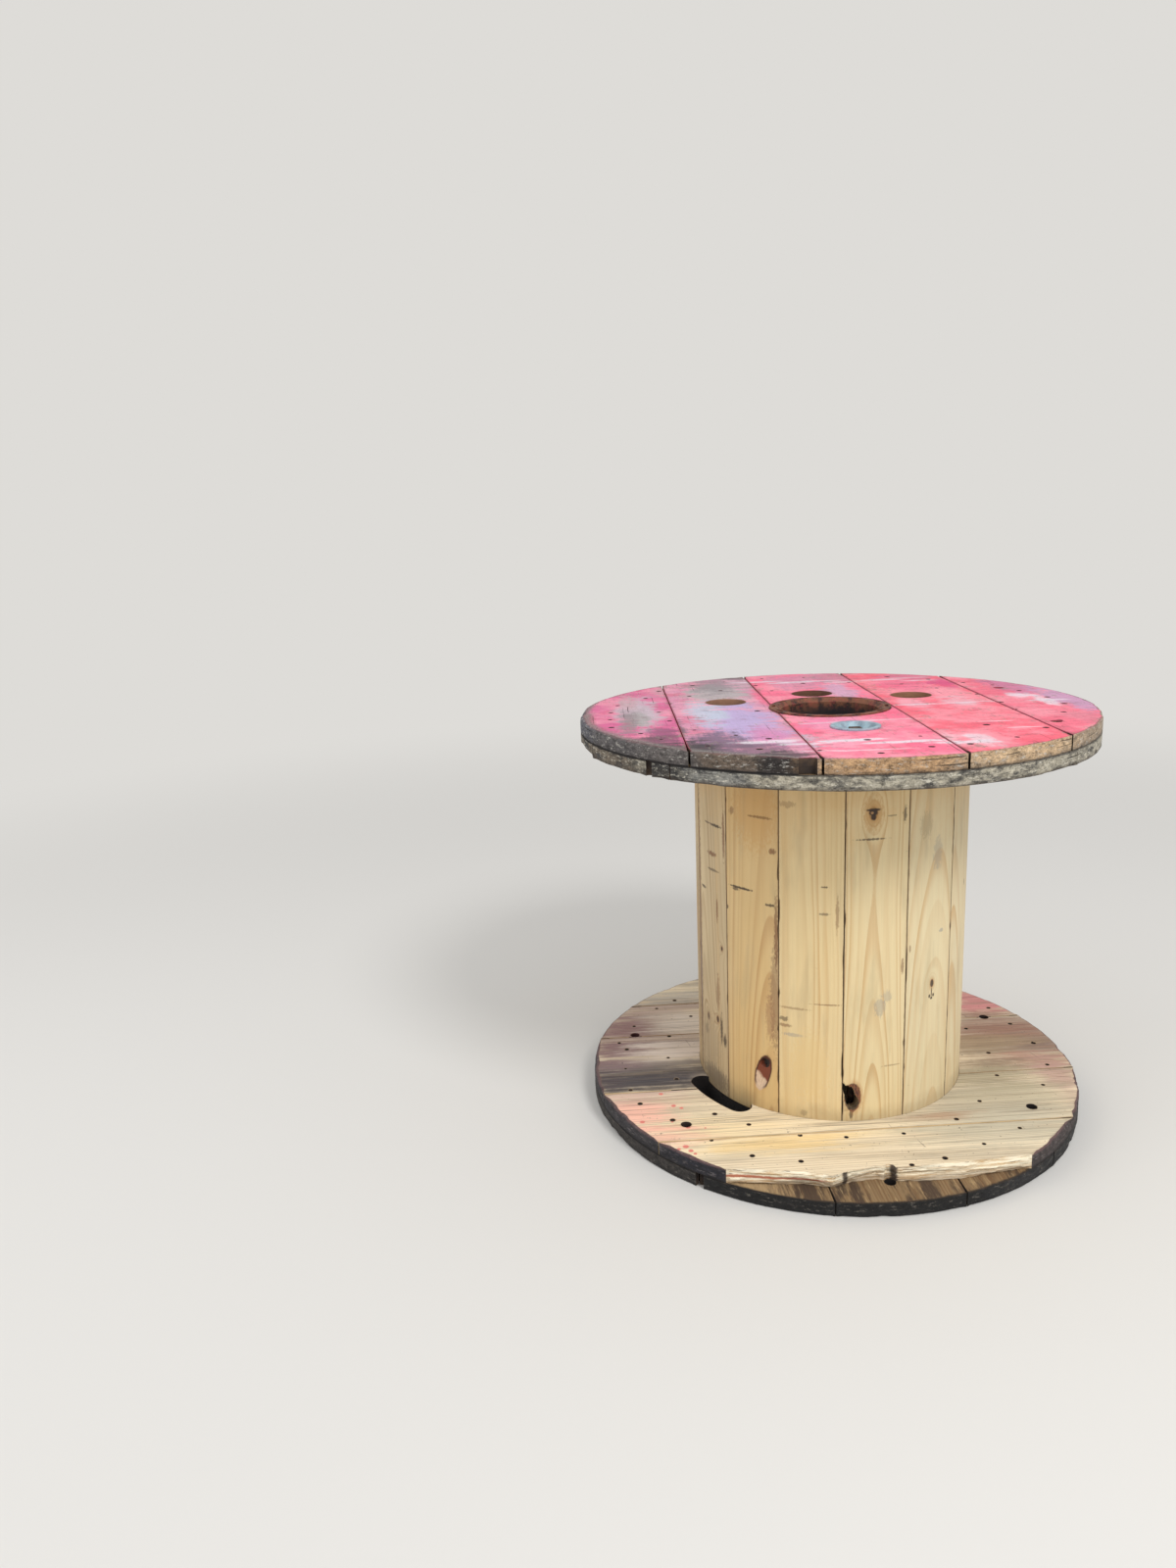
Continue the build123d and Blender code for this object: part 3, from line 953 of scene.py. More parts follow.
def buildBoard(layerName, number, faceMaterial, sideMaterial, hiddenMaterial, nails):
    s = dict(boardMake)
    layer = layers[layerName]
    nodeName = f"{layerName}_board_{number}"
    low = layer["low"]
    high = low + drum["board"]
    upward = layer["face"] == "up"
    loops = sliceLoops(nodeName, (low + high) / 2 + (2.0 if upward else -2.0))
    if nodeName != brokenBoard:
        loops[0] = openSeams(densify(loops[0], s["edgeStep"]), layerName)
    features = Features()
    for x, y, size in nails:
        features.pit(x, y, layer["pit"] * size, s["pitDepth"] * size)
    seed = 11 * number + 101 * list(layers).index(layerName)
    draw = np.random.RandomState(seed)
    along = onCircle(1, layer["direction"])
    across = onCircle(1, layer["direction"] + 90)
    stray = s["checkStray"]
    for _ in range(s["checks"][layer["face"]]):
        start = onCircle(draw.uniform(*s["checkRadius"]), draw.uniform(-180, 180))
        length = draw.uniform(*s["checkLength"])
        path = []
        for t in (0, 0.35, 0.7, 1):
            path.append(start + along * length * t + across * draw.uniform(-stray, stray))
        features.crack(path, s["checkWidth"], draw.uniform(*s["checkDepth"]))
    sunk = draw.uniform(0, s["sunk"])
    middle = np.mean(loops[0] @ across)
    halfWidth = np.ptp(loops[0] @ across) / 2

    def waves(points):
        side = (points @ across - middle) / halfWidth
        local = np.column_stack((points @ along / 90.0, points @ across / 12.0, np.full(len(points), 0.5)))
        return sunk + s["cup"] * side**2 + s["ripple"] * (1 + smoothNoise(local, seed))
    features.waves = waves

    def place(points, depth):
        heights = high - depth if upward else low + depth
        return np.column_stack((points, np.zeros(len(points)) + heights))

    s["rounding"] = boardRounding(layerName, seed + 50)
    if nodeName == brokenBoard:
        s |= {"edgeStep": splitEdge["edgeStep"], "wallSteps": splitEdge["wallSteps"]}
        s |= {"torn": brokenOff, "tornWay": across}
    wear = boardWear(layerName, seed, nodeName)
    piece = buildPanel(f"dressed_{nodeName}", loops, s, place, features, wear)
    adopt(piece, [nodeName], [faceMaterial, sideMaterial, hiddenMaterial])
    seat = boardSeats[layerName]
    if len(loops) > 1 or polar(loops[0])[0].min() < seat["outer"]:
        depths = (high - seat["depth"], high + 5) if upward else (low - 5, low + seat["depth"])
        cutter = turnedRing(seat["inner"], seat["outer"], *depths)
        cutter.data.materials.append(sideMaterial)
        cutAway(piece, cutter)
    # Every board takes its own stretch of the grain
    count = len(piece.data.vertices)
    shift = draw.uniform(-1, 1, 3) * (3.0, 0.9, 0.02)
    shifts = piece.data.attributes.new("shift", "FLOAT_VECTOR", "POINT")
    shifts.data.foreach_set("vector", np.tile(shift, count).astype(np.float32))
    boards = piece.data.attributes.new("board", "FLOAT", "POINT")
    boards.data.foreach_set("value", np.full(count, number, np.float32))


# Paint, stains and weathering of the flange faces. A patch is written as
# (x, y, half its length along the grain, half its width, colour, strength, boards or None)
coral = "f06276"
magenta = "d6467c"
lilac = "baa8d2"
soot = "342e32"
ashGrey = "9e9c98"
chalk = "e6dce4"
faceLooks = {
    "top_outer": {
        "wood": oldPine,
        "tints": {1: "ec6e84", 2: coral, 3: "f46e8e", 4: "d48eaa", 5: "d56292"},  # by board
        "patches": [
            (-345, -60, 170, 40, "c4b4be", 0.95, (5,)), (-335, -130, 80, 22, ashGrey, 0.7, (5,)),
            (-385, 60, 80, 18, "c8a0a6", 0.6, (5,)), (-330, 235, 110, 30, "ca9ea6", 0.75, (5,)),
            (-262, -300, 100, 26, "804668", 0.75, (5,)), (-420, -150, 70, 14, "c46078", 0.7, (5,)),
            (-300, -345, 50, 60, "603e4e", 0.75, (5,)), (-240, -385, 40, 50, soot, 0.85, (5,)),
            (-345, -160, 120, 16, "846c74", 0.6, (5,)), (-225, 180, 140, 62, "acacaa", 0.85, (4,)),
            (-190, 330, 90, 50, "c09eaa", 0.8, (4,)), (-250, 290, 110, 44, "787076", 0.55, (4,)),
            (-205, 405, 50, 26, "605458", 0.8, (4,)), (-126, 120, 110, 17, "ee688a", 0.9, (4,)),
            (-150, -150, 190, 58, lilac, 0.95, (4,)), (-218, -60, 120, 30, "bec6d6", 0.85, (4,)),
            (-258, -210, 130, 16, "584e5a", 0.8, (4,)), (-95, -290, 90, 26, "d684b2", 0.8, (4,)),
            (-175, -335, 90, 50, "705c74", 0.9, (4,)), (-205, -400, 90, 44, soot, 0.92, (4,)),
            (-110, -395, 60, 46, "785c70", 0.85, (4,)), (-70, -430, 30, 40, soot, 0.85, (4, 3)),
            (22, 180, 140, 30, "caa6c2", 0.8, (3,)), (-70, 330, 120, 60, "ce88a4", 0.75, (3,)),
            (10, 390, 70, 60, "b0788e", 0.6, (3,)), (12, -170, 70, 60, "ec96bc", 0.55, (3,)),
            (-62, -330, 76, 44, "c0bccc", 0.85, (3,)), (20, -330, 60, 30, "f0b0c2", 0.6, (3,)),
            (-92, -395, 40, 30, "7a6874", 0.8, (3,)), (-40, -430, 26, 20, soot, 0.8, (3,)),
            (150, 290, 110, 60, "e8628a", 0.6, (2,)), (226, 290, 60, 26, magenta, 0.9, (2,)),
            (220, 160, 70, 36, "f89caa", 0.7, (2,)), (170, 395, 60, 50, "ce748e", 0.7, (2,)),
            (150, 40, 60, 22, "f0b0be", 0.55, (2,)), (235, 60, 44, 30, chalk, 0.4, (2,)),
            (150, -300, 60, 52, "f0c4ce", 0.6, (2,)), (226, -300, 50, 18, chalk, 0.6, (2,)),
            (150, -410, 40, 60, "c44858", 0.6, (2,)), (345, 250, 110, 36, "c4789c", 0.8, (1,)),
            (425, 80, 150, 34, "be98ba", 0.85, (1,)), (382, 60, 70, 12, chalk, 0.75, (1,)),
            (345, 120, 30, 16, chalk, 0.6, (1,)), (300, -170, 80, 12, "f6bec8", 0.6, (1,)),
            (415, -130, 70, 24, "d6788a", 0.6, (1,)),
        ],
        # Smears of worn chalk: x, y, half width across the boards, half length along them, strength
        "chalk": [
            (-98, -332, 46, 11, 0.75), (-70, -318, 30, 7, 0.6), (-30, -345, 36, 8, 0.7),
            (8, -324, 44, 9, 0.8), (62, -310, 34, 10, 0.75), (96, -334, 52, 8, 0.8),
            (150, -318, 40, 9, 0.7), (196, -330, 46, 10, 0.75), (226, -316, 28, 6, 0.6),
            (60, -392, 60, 4, 0.5), (-10, -398, 44, 4, 0.4), (36, -150, 52, 5, 0.45),
            (120, -128, 60, 4, 0.4), (-20, -168, 40, 5, 0.35), (-158, 330, 50, 9, 0.6),
            (-88, 316, 40, 9, 0.65), (-30, 338, 54, 8, 0.65), (20, 320, 36, 9, 0.6),
            (110, 348, 48, 9, 0.65), (172, 330, 40, 8, 0.55), (150, 372, 50, 6, 0.45),
            (150, 22, 46, 7, 0.5), (215, 36, 52, 8, 0.5), (270, 52, 36, 6, 0.4), (262, -152, 40, 5, 0.5),
            (306, -205, 34, 5, 0.5), (384, 66, 40, 7, 0.6), (352, 128, 30, 6, 0.5),
        ],
        "soft": 0.4, "chalkSoft": 0.3, "faded": "f8acb8", "fadedShow": 0.5, "deeper": "d43c5e",
        "deeperShow": 0.4, "grime": "7e525c", "grimeShow": 0.42, "scrape": "fad0d6", "scrapeShow": 0.5,
        "weather": 0.5, "weatherColour": "605856", "rimGrey": "928e88", "rimShow": 0.85,
        "rimLeast": 4,  # the worn rim's width in mm, and what is added at the front left
        "rimMore": 27, "bare": 0.55, "dirt": 0.4, "dirtReach": 3.4, "dirtColour": "702c3a",
        "pitRing": "843442", "roughness": 0.62,
    },
    "top_inner": {
        "wood": oldPine, "washes": [],
        "patches": [
            (-200, -300, 200, 60, "7a6450", 0.6, None), (200, 320, 200, 70, "846e58", 0.6, None),
            (320, -120, 160, 50, "60544c", 0.6, None), (-330, 140, 160, 60, "8c7a64", 0.5, None),
        ],
        "soft": 0.6, "dots": [], "dotColour": soot, "dirtReach": 4.0, "dirtColour": "42342c",
        "pitRing": "584638", "weather": 0.6, "weatherColour": "766452", "streaks": 0.5,
        "streakColour": "483a30", "dirt": 0.6, "roughness": 0.85,
    },
    "bottom_inner": {
        "wood": tanPine,
        "washes": [
            # The wide pale wash over the front is painted sunlight; the grey washes at the left are stains,
            # darkened further as painted shade
            (-350, 60, 150, 150, "9c8482", 0.75), (-330, -130, 150, 62, "706264", 0.85),
            (360, 140, 150, 130, "907870", 0.82), (-150, -310, 330, 80, "fdecc8", 0.8),
            (280, -150, 130, 90, "aca898", 0.7),
        ],
        "patches": [
            (-70, -335, 130, 26, "f6d082", 0.7, (1, 2)), (-180, -300, 130, 40, "fae0ac", 0.6, (1, 2)),
            (-345, -275, 76, 52, "ffc0ac", 0.9, (2,)), (-285, -350, 76, 36, "fab4a4", 0.65, (1, 2)),
            (-350, -205, 110, 30, "cea8a0", 0.7, (2,)), (-350, -150, 150, 60, "2a2a38", 0.97, (3,)),
            (-350, -104, 150, 40, "3a3642", 0.85, (3,)), (-300, -178, 110, 20, "2c2832", 0.85, (3,)),
            (-290, -108, 130, 14, "342e36", 0.85, (3,)), (-400, -95, 80, 26, "705462", 0.85, (3,)),
            (-420, -160, 40, 36, "3a303c", 0.9, (3,)), (-385, -25, 110, 46, "78565e", 0.92, (3, 4)),
            (-280, -20, 90, 44, "e0d2c6", 0.9, (3,)), (-270, -70, 70, 16, "463e42", 0.7, (3,)),
            (-400, 70, 100, 70, "825a62", 0.88, (4,)), (-290, 110, 80, 60, "dcd0c4", 0.88, (4,)),
            (-330, 190, 130, 24, "ac908c", 0.7, (4,)), (-300, 250, 150, 40, "b6b0a8", 0.8, (5,)),
            (-200, 360, 150, 60, "968c84", 0.7, (5,)), (340, 300, 110, 64, "c4747a", 0.92, (4, 5)),
            (390, 215, 90, 26, "543a38", 0.8, (4,)), (310, 215, 60, 22, "7e544a", 0.8, (4,)),
            (350, 155, 130, 50, "8e6052", 0.9, (3, 4)), (405, 100, 70, 34, "684644", 0.8, (3,)),
            (300, 80, 100, 50, "927a5c", 0.8, (3,)), (390, 35, 90, 34, "b27c70", 0.8, (3,)),
            (300, 5, 90, 22, "78624c", 0.75, (3,)), (285, -50, 90, 40, "9e9478", 0.75, (2, 3)),
            (425, -40, 34, 90, "be908a", 0.75, (2, 3)), (330, -110, 120, 40, "b2a88c", 0.7, (2,)),
            (250, -190, 150, 34, "bab4a0", 0.6, (2, 1)), (205, -205, 60, 12, "966042", 0.7, (2,)),
            (300, -255, 150, 50, "bcb8a4", 0.65, (1, 2)), (240, -330, 90, 18, "a89e8c", 0.55, (1,)),
            (60, 340, 200, 60, "968476", 0.6, (5,)), (0, 300, 260, 30, "786c64", 0.5, (4, 5)),
        ],
        "soft": 0.62,
        # Small round splashes of paint at the front left: x, y, radius
        "dots": [
            (-271, -236, 6), (-256, -242, 5), (-266, -292, 4), (-236, -306, 4), (-206, -304, 3),
            (-232, -368, 7), (-222, -380, 6), (-243, -378, 5), (-214, -388, 4), (-300, -196, 5),
            (-318, -300, 6),
        ],
        "dotColour": "e48478", "dirtReach": 2.6, "dirtColour": "806046", "pitRing": "a88e6c",
        "weather": 0.42, "weatherColour": "968a76", "streaks": 0.55, "streakColour": "645246", "dirt": 0.22,
        "roughness": 0.78,
    },
    "bottom_outer": {
        "wood": oldPine, "washes": [], "patches": [(0, 0, 300, 300, "685c50", 0.5, None)], "soft": 0.6,
        "dots": [], "dotColour": soot, "dirtReach": 4.0, "dirtColour": "302824", "pitRing": "3c322a",
        "weather": 0.7, "weatherColour": "544c44", "streaks": 0.6, "streakColour": "342c28", "dirt": 0.8,
        "roughness": 0.9,
    },
}


# What the faces of all boards share
dirtLook = {
    "check": "2e2220", "checkShow": 0.7, "speck": "322224", "speckShow": 0.7,
    # pit is painted near black as shade inside the nail pits and cracks
    "scratch": "42322e", "scratchShow": 0.5, "pit": "160e0d",
}


def boardRecipe(layerName, part, wood):
    # X runs along the boards, and every board takes its own stretch of the grain
    r = Recipe(f"{layerName}_{part}")
    local = r.turn(r.coords, -layers[layerName]["direction"])
    point = r.vector("ADD", local, r.attribute("shift", "Vector"))
    return r, local, point, woodGrain(r, point, local, wood)


def weathered(r, look, point, colour):
    weather = r.noise(point, (3.2, 26.0, 26.0), 4.0, 0.65)
    return weather, r.lay(colour, r.step(0.42, 0.66, weather), look["weather"], look["weatherColour"])


def grainPatch(r, local, direction, place, radii, ragged, soft):
    # A patch stretched along the grain, with an edge that follows the fibres
    x, y = place
    turn = math.radians(-direction)
    middle = (x * math.cos(turn) - y * math.sin(turn), x * math.sin(turn) + y * math.cos(turn))
    return r.step(1 + soft, 1 - soft, r.add(r.flatGap(local, middle, radii), ragged))


def laidPatches(r, look, direction, local, ragged, coat):
    board = r.attribute("board")
    covered = 0.0
    for x, y, along, across, tint, strength, numbers in look["patches"]:
        mask = grainPatch(r, local, direction, (x, y), (along, across), ragged, look["soft"])
        mask = r.mul(mask, strength)
        if numbers:
            chosen = 0.0
            for number in numbers:
                chosen = r.most(chosen, r.step(0.5, 0.4, r.apart(board, float(number))))
            mask = r.mul(mask, chosen)
        coat = r.mix(mask, coat, tint)
        covered = r.most(covered, mask)
    return coat, covered


def dirtyFace(r, look, colour, point, weather, blotch):
    # Dirt lies along the seams, in specks and in the fine checks; nail pits get a stained ring, and pits
    # and cracks are painted near black inside as shade
    seam = r.step(look["dirtReach"], 0.3, r.add(r.attribute("edge"), r.swing(blotch, 9.0)))
    colour = r.lay(colour, seam, look["dirt"], look["dirtColour"])
    checks = r.noise(point, (5.0, 260.0, 260.0), 2.0, 0.5)
    checks = r.mul(r.step(0.69, 0.73, checks), r.step(0.42, 0.6, weather))
    colour = r.lay(colour, checks, dirtLook["checkShow"], dirtLook["check"])
    specks = r.noise(r.coords, 170.0, 2.0, 0.6)
    specks = r.mul(r.step(0.68, 0.74, specks), r.step(0.42, 0.58, blotch))
    colour = r.lay(colour, specks, dirtLook["speckShow"], dirtLook["speck"])
    pit = r.attribute("cavity")
    colour = r.mix(r.step(0.02, 0.25, pit), colour, look["pitRing"])
    colour = r.mix(r.step(0.15, 0.6, pit), colour, dirtLook["pit"])
    return colour, checks


def paintedFace(layerName):
    # Sprayed and chalked paint, thin and scuffed, over rough-sawn boards
    look = faceLooks[layerName]
    direction = layers[layerName]["direction"]
    r, local, point, grain = boardRecipe(layerName, "face", look["wood"])
    weather, wood = weathered(r, look, point, grain["colour"])
    fibres = r.noise(point, (14.0, 170.0, 170.0), 3.0, 0.7)
    saw = r.noise(point, (70.0, 9.0, 9.0), 4.0, 0.7)
    blotch = r.noise(r.coords, 24.0, 5.0, 0.68)
    grit = r.noise(r.coords, 300.0, 3.0, 0.75)
    ragged = r.add(r.swing(saw, 2.0), r.swing(blotch, 2.2))
    ragged = r.add(ragged, r.add(r.swing(grit, 0.7), r.swing(fibres, 0.6)))
    coat = look["tints"][1]
    for number in range(2, boardCount + 1):
        reached = r.step(number - 0.6, number - 0.4, r.attribute("board"))
        coat = r.mix(reached, coat, look["tints"][number])
    faded = r.step(0.42, 0.62, r.noise(r.coords, 9.0, 5.0, 0.65))
    coat = r.lay(coat, faded, look["fadedShow"], look["faded"])
    deeper = r.step(0.5, 0.68, r.noise(r.coords, 15.0, 4.0, 0.65))
    coat = r.lay(coat, deeper, look["deeperShow"], look["deeper"])
    coat, _ = laidPatches(r, look, direction, local, ragged, coat)
    for x, y, across, along, strength in look["chalk"]:
        mask = grainPatch(r, local, direction, (x, y), (along, across), ragged, look["chalkSoft"])
        coat = r.lay(coat, mask, strength, chalk)
    texture = r.add(r.mul(saw, 0.42), r.add(r.mul(fibres, 0.3), r.mul(grit, 0.5)))
    coat = r.shade(coat, r.add(0.4, texture))
    grime = r.noise(r.coords, (38.0, 55.0, 1.0), 5.0, 0.72)
    coat = r.lay(coat, r.step(0.53, 0.68, grime), look["grimeShow"], look["grime"])
    # Paint is gone in thin flakes, and more so by the edges
    patchy = r.noise(r.coords, 16.0, 3.0, 0.6)
    flakes = r.noise(point, (48.0, 130.0, 130.0), 5.0, 0.75)
    near = r.step(14.0, 0.0, r.attribute("edge"))
    gone = r.add(r.add(flakes, r.swing(patchy, 0.55)), r.mul(near, 0.07))
    gone = r.mul(r.step(0.61, 0.68, gone), look["bare"])
    scrape = r.noise(r.turn(r.coords, 7.0), (6.0, 120.0, 1.0), 3.0, 0.6)
    scrape = r.mul(r.step(0.66, 0.74, scrape), r.step(0.46, 0.6, patchy))
    coat = r.lay(coat, scrape, look["scrapeShow"], look["scrape"])
    colour = r.mix(gone, coat, wood)
    # The rim is worn to grey wood, widest at the front left
    x, y, _ = r.split(r.coords)
    rimGap = r.sub(drum["flangeRadius"] * mm, r.flatGap(r.coords))
    rimGap = r.add(rimGap, r.add(r.swing(blotch, 0.026), r.swing(grit, 0.014)))
    wide = r.mul(r.step(0.06, -0.12, x), r.step(0.12, -0.08, y))
    reach = r.add(look["rimLeast"] * mm, r.mul(wide, look["rimMore"] * mm))
    worn = r.step(1.0, 0.3, r.math("DIVIDE", rimGap, reach))
    greyed = r.mix(r.step(0.4, 0.62, grit), look["weatherColour"], look["rimGrey"])
    colour = r.lay(colour, worn, look["rimShow"], greyed)
    colour, checks = dirtyFace(r, look, colour, point, weather, blotch)
    height = r.sub(r.add(r.mul(fibres, 0.4), r.add(r.mul(saw, 0.5), r.mul(grit, 0.3))), r.mul(checks, 0.9))
    return r.finish(colour, r.add(look["roughness"], r.mul(fibres, 0.2)), height, 0.0013, 0.7)


def stainedFace(layerName):
    # Bare boards: stains sink into the wood, so its grain shows through them
    look = faceLooks[layerName]
    direction = layers[layerName]["direction"]
    r, local, point, grain = boardRecipe(layerName, "face", look["wood"])
    weather, colour = weathered(r, look, point, grain["colour"])
    fibres = r.noise(point, (13.0, 170.0, 170.0), 4.0, 0.7)
    streaked = r.noise(point, (3.4, 62.0, 62.0), 5.0, 0.72)
    blotch = r.noise(r.coords, 30.0, 4.0, 0.65)
    ragged = r.add(r.swing(streaked, 3.6), r.swing(blotch, 0.9))
    coat = colour
    washed = 0.0
    for x, y, along, across, tint, strength in look["washes"]:
        mask = grainPatch(r, local, direction, (x, y), (along, across), r.mul(ragged, 0.3), 0.5)
        mask = r.mul(mask, strength)
        coat = r.mix(mask, coat, tint)
        washed = r.most(washed, mask)
    coat, covered = laidPatches(r, look, direction, local, ragged, coat)
    covered = r.most(covered, washed)
    coat = r.shade(coat, r.add(0.74, r.mul(fibres, 0.52)))
    coat = r.shade(coat, r.sub(1.08, r.mul(grain["late"], 0.3)))
    lines = r.step(0.53, 0.68, r.noise(point, (4.0, 120.0, 120.0), 4.0, 0.7))
    coat = r.lay(coat, lines, r.mul(look["streaks"], r.add(0.25, covered)), look["streakColour"])
    colour = r.mix(r.add(0.25, r.mul(covered, 0.7)), colour, coat)
    for x, y, size in look["dots"]:
        near = r.add(r.flatGap(r.coords, (x, y)), r.swing(blotch, 0.006))
        colour = r.mix(r.step(size * mm, 0.55 * size * mm, near), colour, look["dotColour"])
    scratches = r.noise(r.turn(r.coords, 62.0), (4.0, 120.0, 1.0), 3.0, 0.6)
    scratches = r.mul(r.step(0.66, 0.71, scratches), r.step(0.5, 0.6, blotch))
    colour = r.lay(colour, scratches, dirtLook["scratchShow"], dirtLook["scratch"])
    colour, checks = dirtyFace(r, look, colour, point, weather, blotch)
    height = r.sub(r.add(r.mul(fibres, 0.5), r.mul(grain["height"], 0.5)), r.mul(checks, 0.9))
    return r.finish(colour, r.add(look["roughness"], r.mul(fibres, 0.2)), height, 0.0011, 0.6)


startSlot = (-190, -182)  # the middle of the slot beside the barrel's foot
# What the walls of the pockets and holes look like: x, y, reach, colour
topBores = [(152.3, 137.2, 39, "926a50"), (-195, 63.4, 39, "96705a"), (-34.8, 163.8, 40, "6c4a38")]
# The holes and slot of the lower flange are painted near black inside, as shade
bottomBores = [
    (103.5, -386.4, 13, "1a1110"), (357.2, -151.6, 12, "181111"), (-240.4, -296.9, 12, "342822"),
    (-388.9, 40.9, 12, "421e1e"), (321.7, 217, 12, "281a18"), (*startSlot, 90, "181211"),
]
# The boards' edges. An arc is (middle azimuth, half its reach, colour, strength)
# Each layer's foot colour is painted shade along the lower side of its edge
rimLooks = {
    "top_outer": {
        "arcs": [
            (0, 180, "96806a", 0.8), (-165, 34, "4c4e58", 0.95), (-124, 26, "545050", 0.95),
            (-108, 7, "605040", 0.7), (-98, 4.5, "1e1919", 0.95), (-93.6, 1.2, "b0926c", 0.9),
            (-79, 13.5, "ac8862", 0.85), (-49, 15, "ba9e7c", 0.85), (-22, 14, "968470", 0.8),
        ],
        "lip": "966066", "lipReach": 3.0, "lipShow": 0.25, "foot": "2e2826", "footShow": 0.5, "speck": 1.8,
        "coarse": 3.2, "deepShadeShow": 0.7, "pale": "c4c0b8", "paleShow": 0.65, "bores": topBores,
        "boreShade": 1.0, "blots": "3a3432", "blotsFrom": 0.56, "blotsShow": 0.6, "seamLip": "b0465c",
    },
    "top_inner": {
        "arcs": [
            (0, 180, "a09a8a", 0.85), (-152, 22, "5c5044", 0.88), (-123, 5.5, "2c2928", 0.95),
            (-112, 7, "606468", 0.6),
        ],
        "lip": "605650", "lipReach": 3.0, "lipShow": 0.3, "foot": "3a2e26", "footShow": 0.8, "speck": 1.8,
        "coarse": 3.0, "deepShadeShow": 0.7, "pale": "ded8c8", "paleShow": 0.65, "bores": topBores,
        "boreShade": 0.85, "blots": "323234", "blotsFrom": 0.44, "blotsShow": 0.9, "seamLip": "6e5c4c",
    },
    "bottom_inner": {
        "arcs": [
            (0, 180, "544c48", 0.85), (-150, 40, "302e32", 0.95), (-112, 15, "22222a", 0.95),
            (-25, 36, "3e3636", 0.9),
        ],
        "lip": "8e6a68", "lipReach": 5.0, "lipShow": 0.4, "foot": "1e1c1e", "footShow": 0.7, "speck": 2.0,
        "coarse": 3.4, "deepShadeShow": 0.45, "pale": "7c7474", "paleShow": 0.6, "bores": bottomBores,
        "boreShade": 1.0, "blots": "1e1c1e", "blotsFrom": 0.54, "blotsShow": 0.6, "seamLip": "b09672",
    },
    "bottom_outer": {
        "arcs": [
            (0, 180, "423c38", 0.85), (-150, 44, "322e2c", 0.95), (-84, 34, "101011", 0.97),
            (-25, 30, "222224", 0.95),
        ],
        "lip": "68523a", "lipReach": 2.0, "lipShow": 0.4, "foot": "161516", "footShow": 0.8, "speck": 2.2,
        "coarse": 3.6, "deepShadeShow": 0.7, "pale": "706a62", "paleShow": 0.6, "bores": bottomBores,
        "boreShade": 0.7, "blots": "141416", "blotsFrom": 0.52, "blotsShow": 0.6, "seamLip": "785c3e",
    },
}


# What the sides of all boards share, and the walls of their seams and holes
sideLook = {
    "meet": "141112", "split": "1a1514", "splitShow": 0.75, "wall": "7e6246", "wallDark": "4a382c",
    # deep is painted shade further into the seams and holes
    "deep": "221814", "rimEnd": "28211f", "rimEndShow": 0.65,
}
# The torn face of the broken board, with the height of its red-brown layer in mm
tornLook = {
    "pale": "f4ead0", "tan": "c4a070", "layer": "a85c42", "layerShow": 0.9, "layerHeight": 38.5,
    "under": "8c6c4a", "underShow": 0.55, "crack": "60422e", "crackShow": 0.8, "soot": "2c1c1a",
    # front paints the walls at the front pale, as sunlight
    "sootShow": 0.9, "front": "e2c696", "sunlitFrontShow": 0.8,
}


def tornWood(r, local, blotch, lines):
    # Fresh wood, red-brown in one thin layer and sooty round the old nails
    look = tornLook
    x, y, z = r.split(local)
    pale = r.step(0.42, 0.66, r.noise(local, (9.0, 120.0, 300.0), 5.0, 0.75))
    fresh = r.mix(pale, look["pale"], look["tan"])
    gap = r.math("ABSOLUTE", r.add(r.sub(z, look["layerHeight"] * mm), r.swing(blotch, 0.006)))
    layer = r.mul(r.step(0.003, 0.0012, gap), r.step(-0.09, -0.12, x))
    fresh = r.lay(fresh, layer, look["layerShow"], look["layer"])
    under = r.step(0.036, 0.030, r.add(z, r.swing(lines, 0.012)))
    fresh = r.lay(fresh, under, look["underShow"], look["under"])
    cracks = r.step(0.58, 0.64, r.noise(local, (16.0, 60.0, 420.0), 4.0, 0.7))
    fresh = r.lay(fresh, cracks, look["crackShow"], look["crack"])
    for along, _ in bareNails:
        near = r.apart(r.add(x, r.swing(lines, 0.01)), along * mm)
        fresh = r.lay(fresh, r.step(0.007, 0.002, near), look["sootShow"], look["soot"])
    edge = splitEdge["across"]
    torn = r.step((edge + 0.5) * mm, (edge - 1.5) * mm, y)
    return torn, r.shade(fresh, r.add(0.58, r.mul(lines, 0.86)))


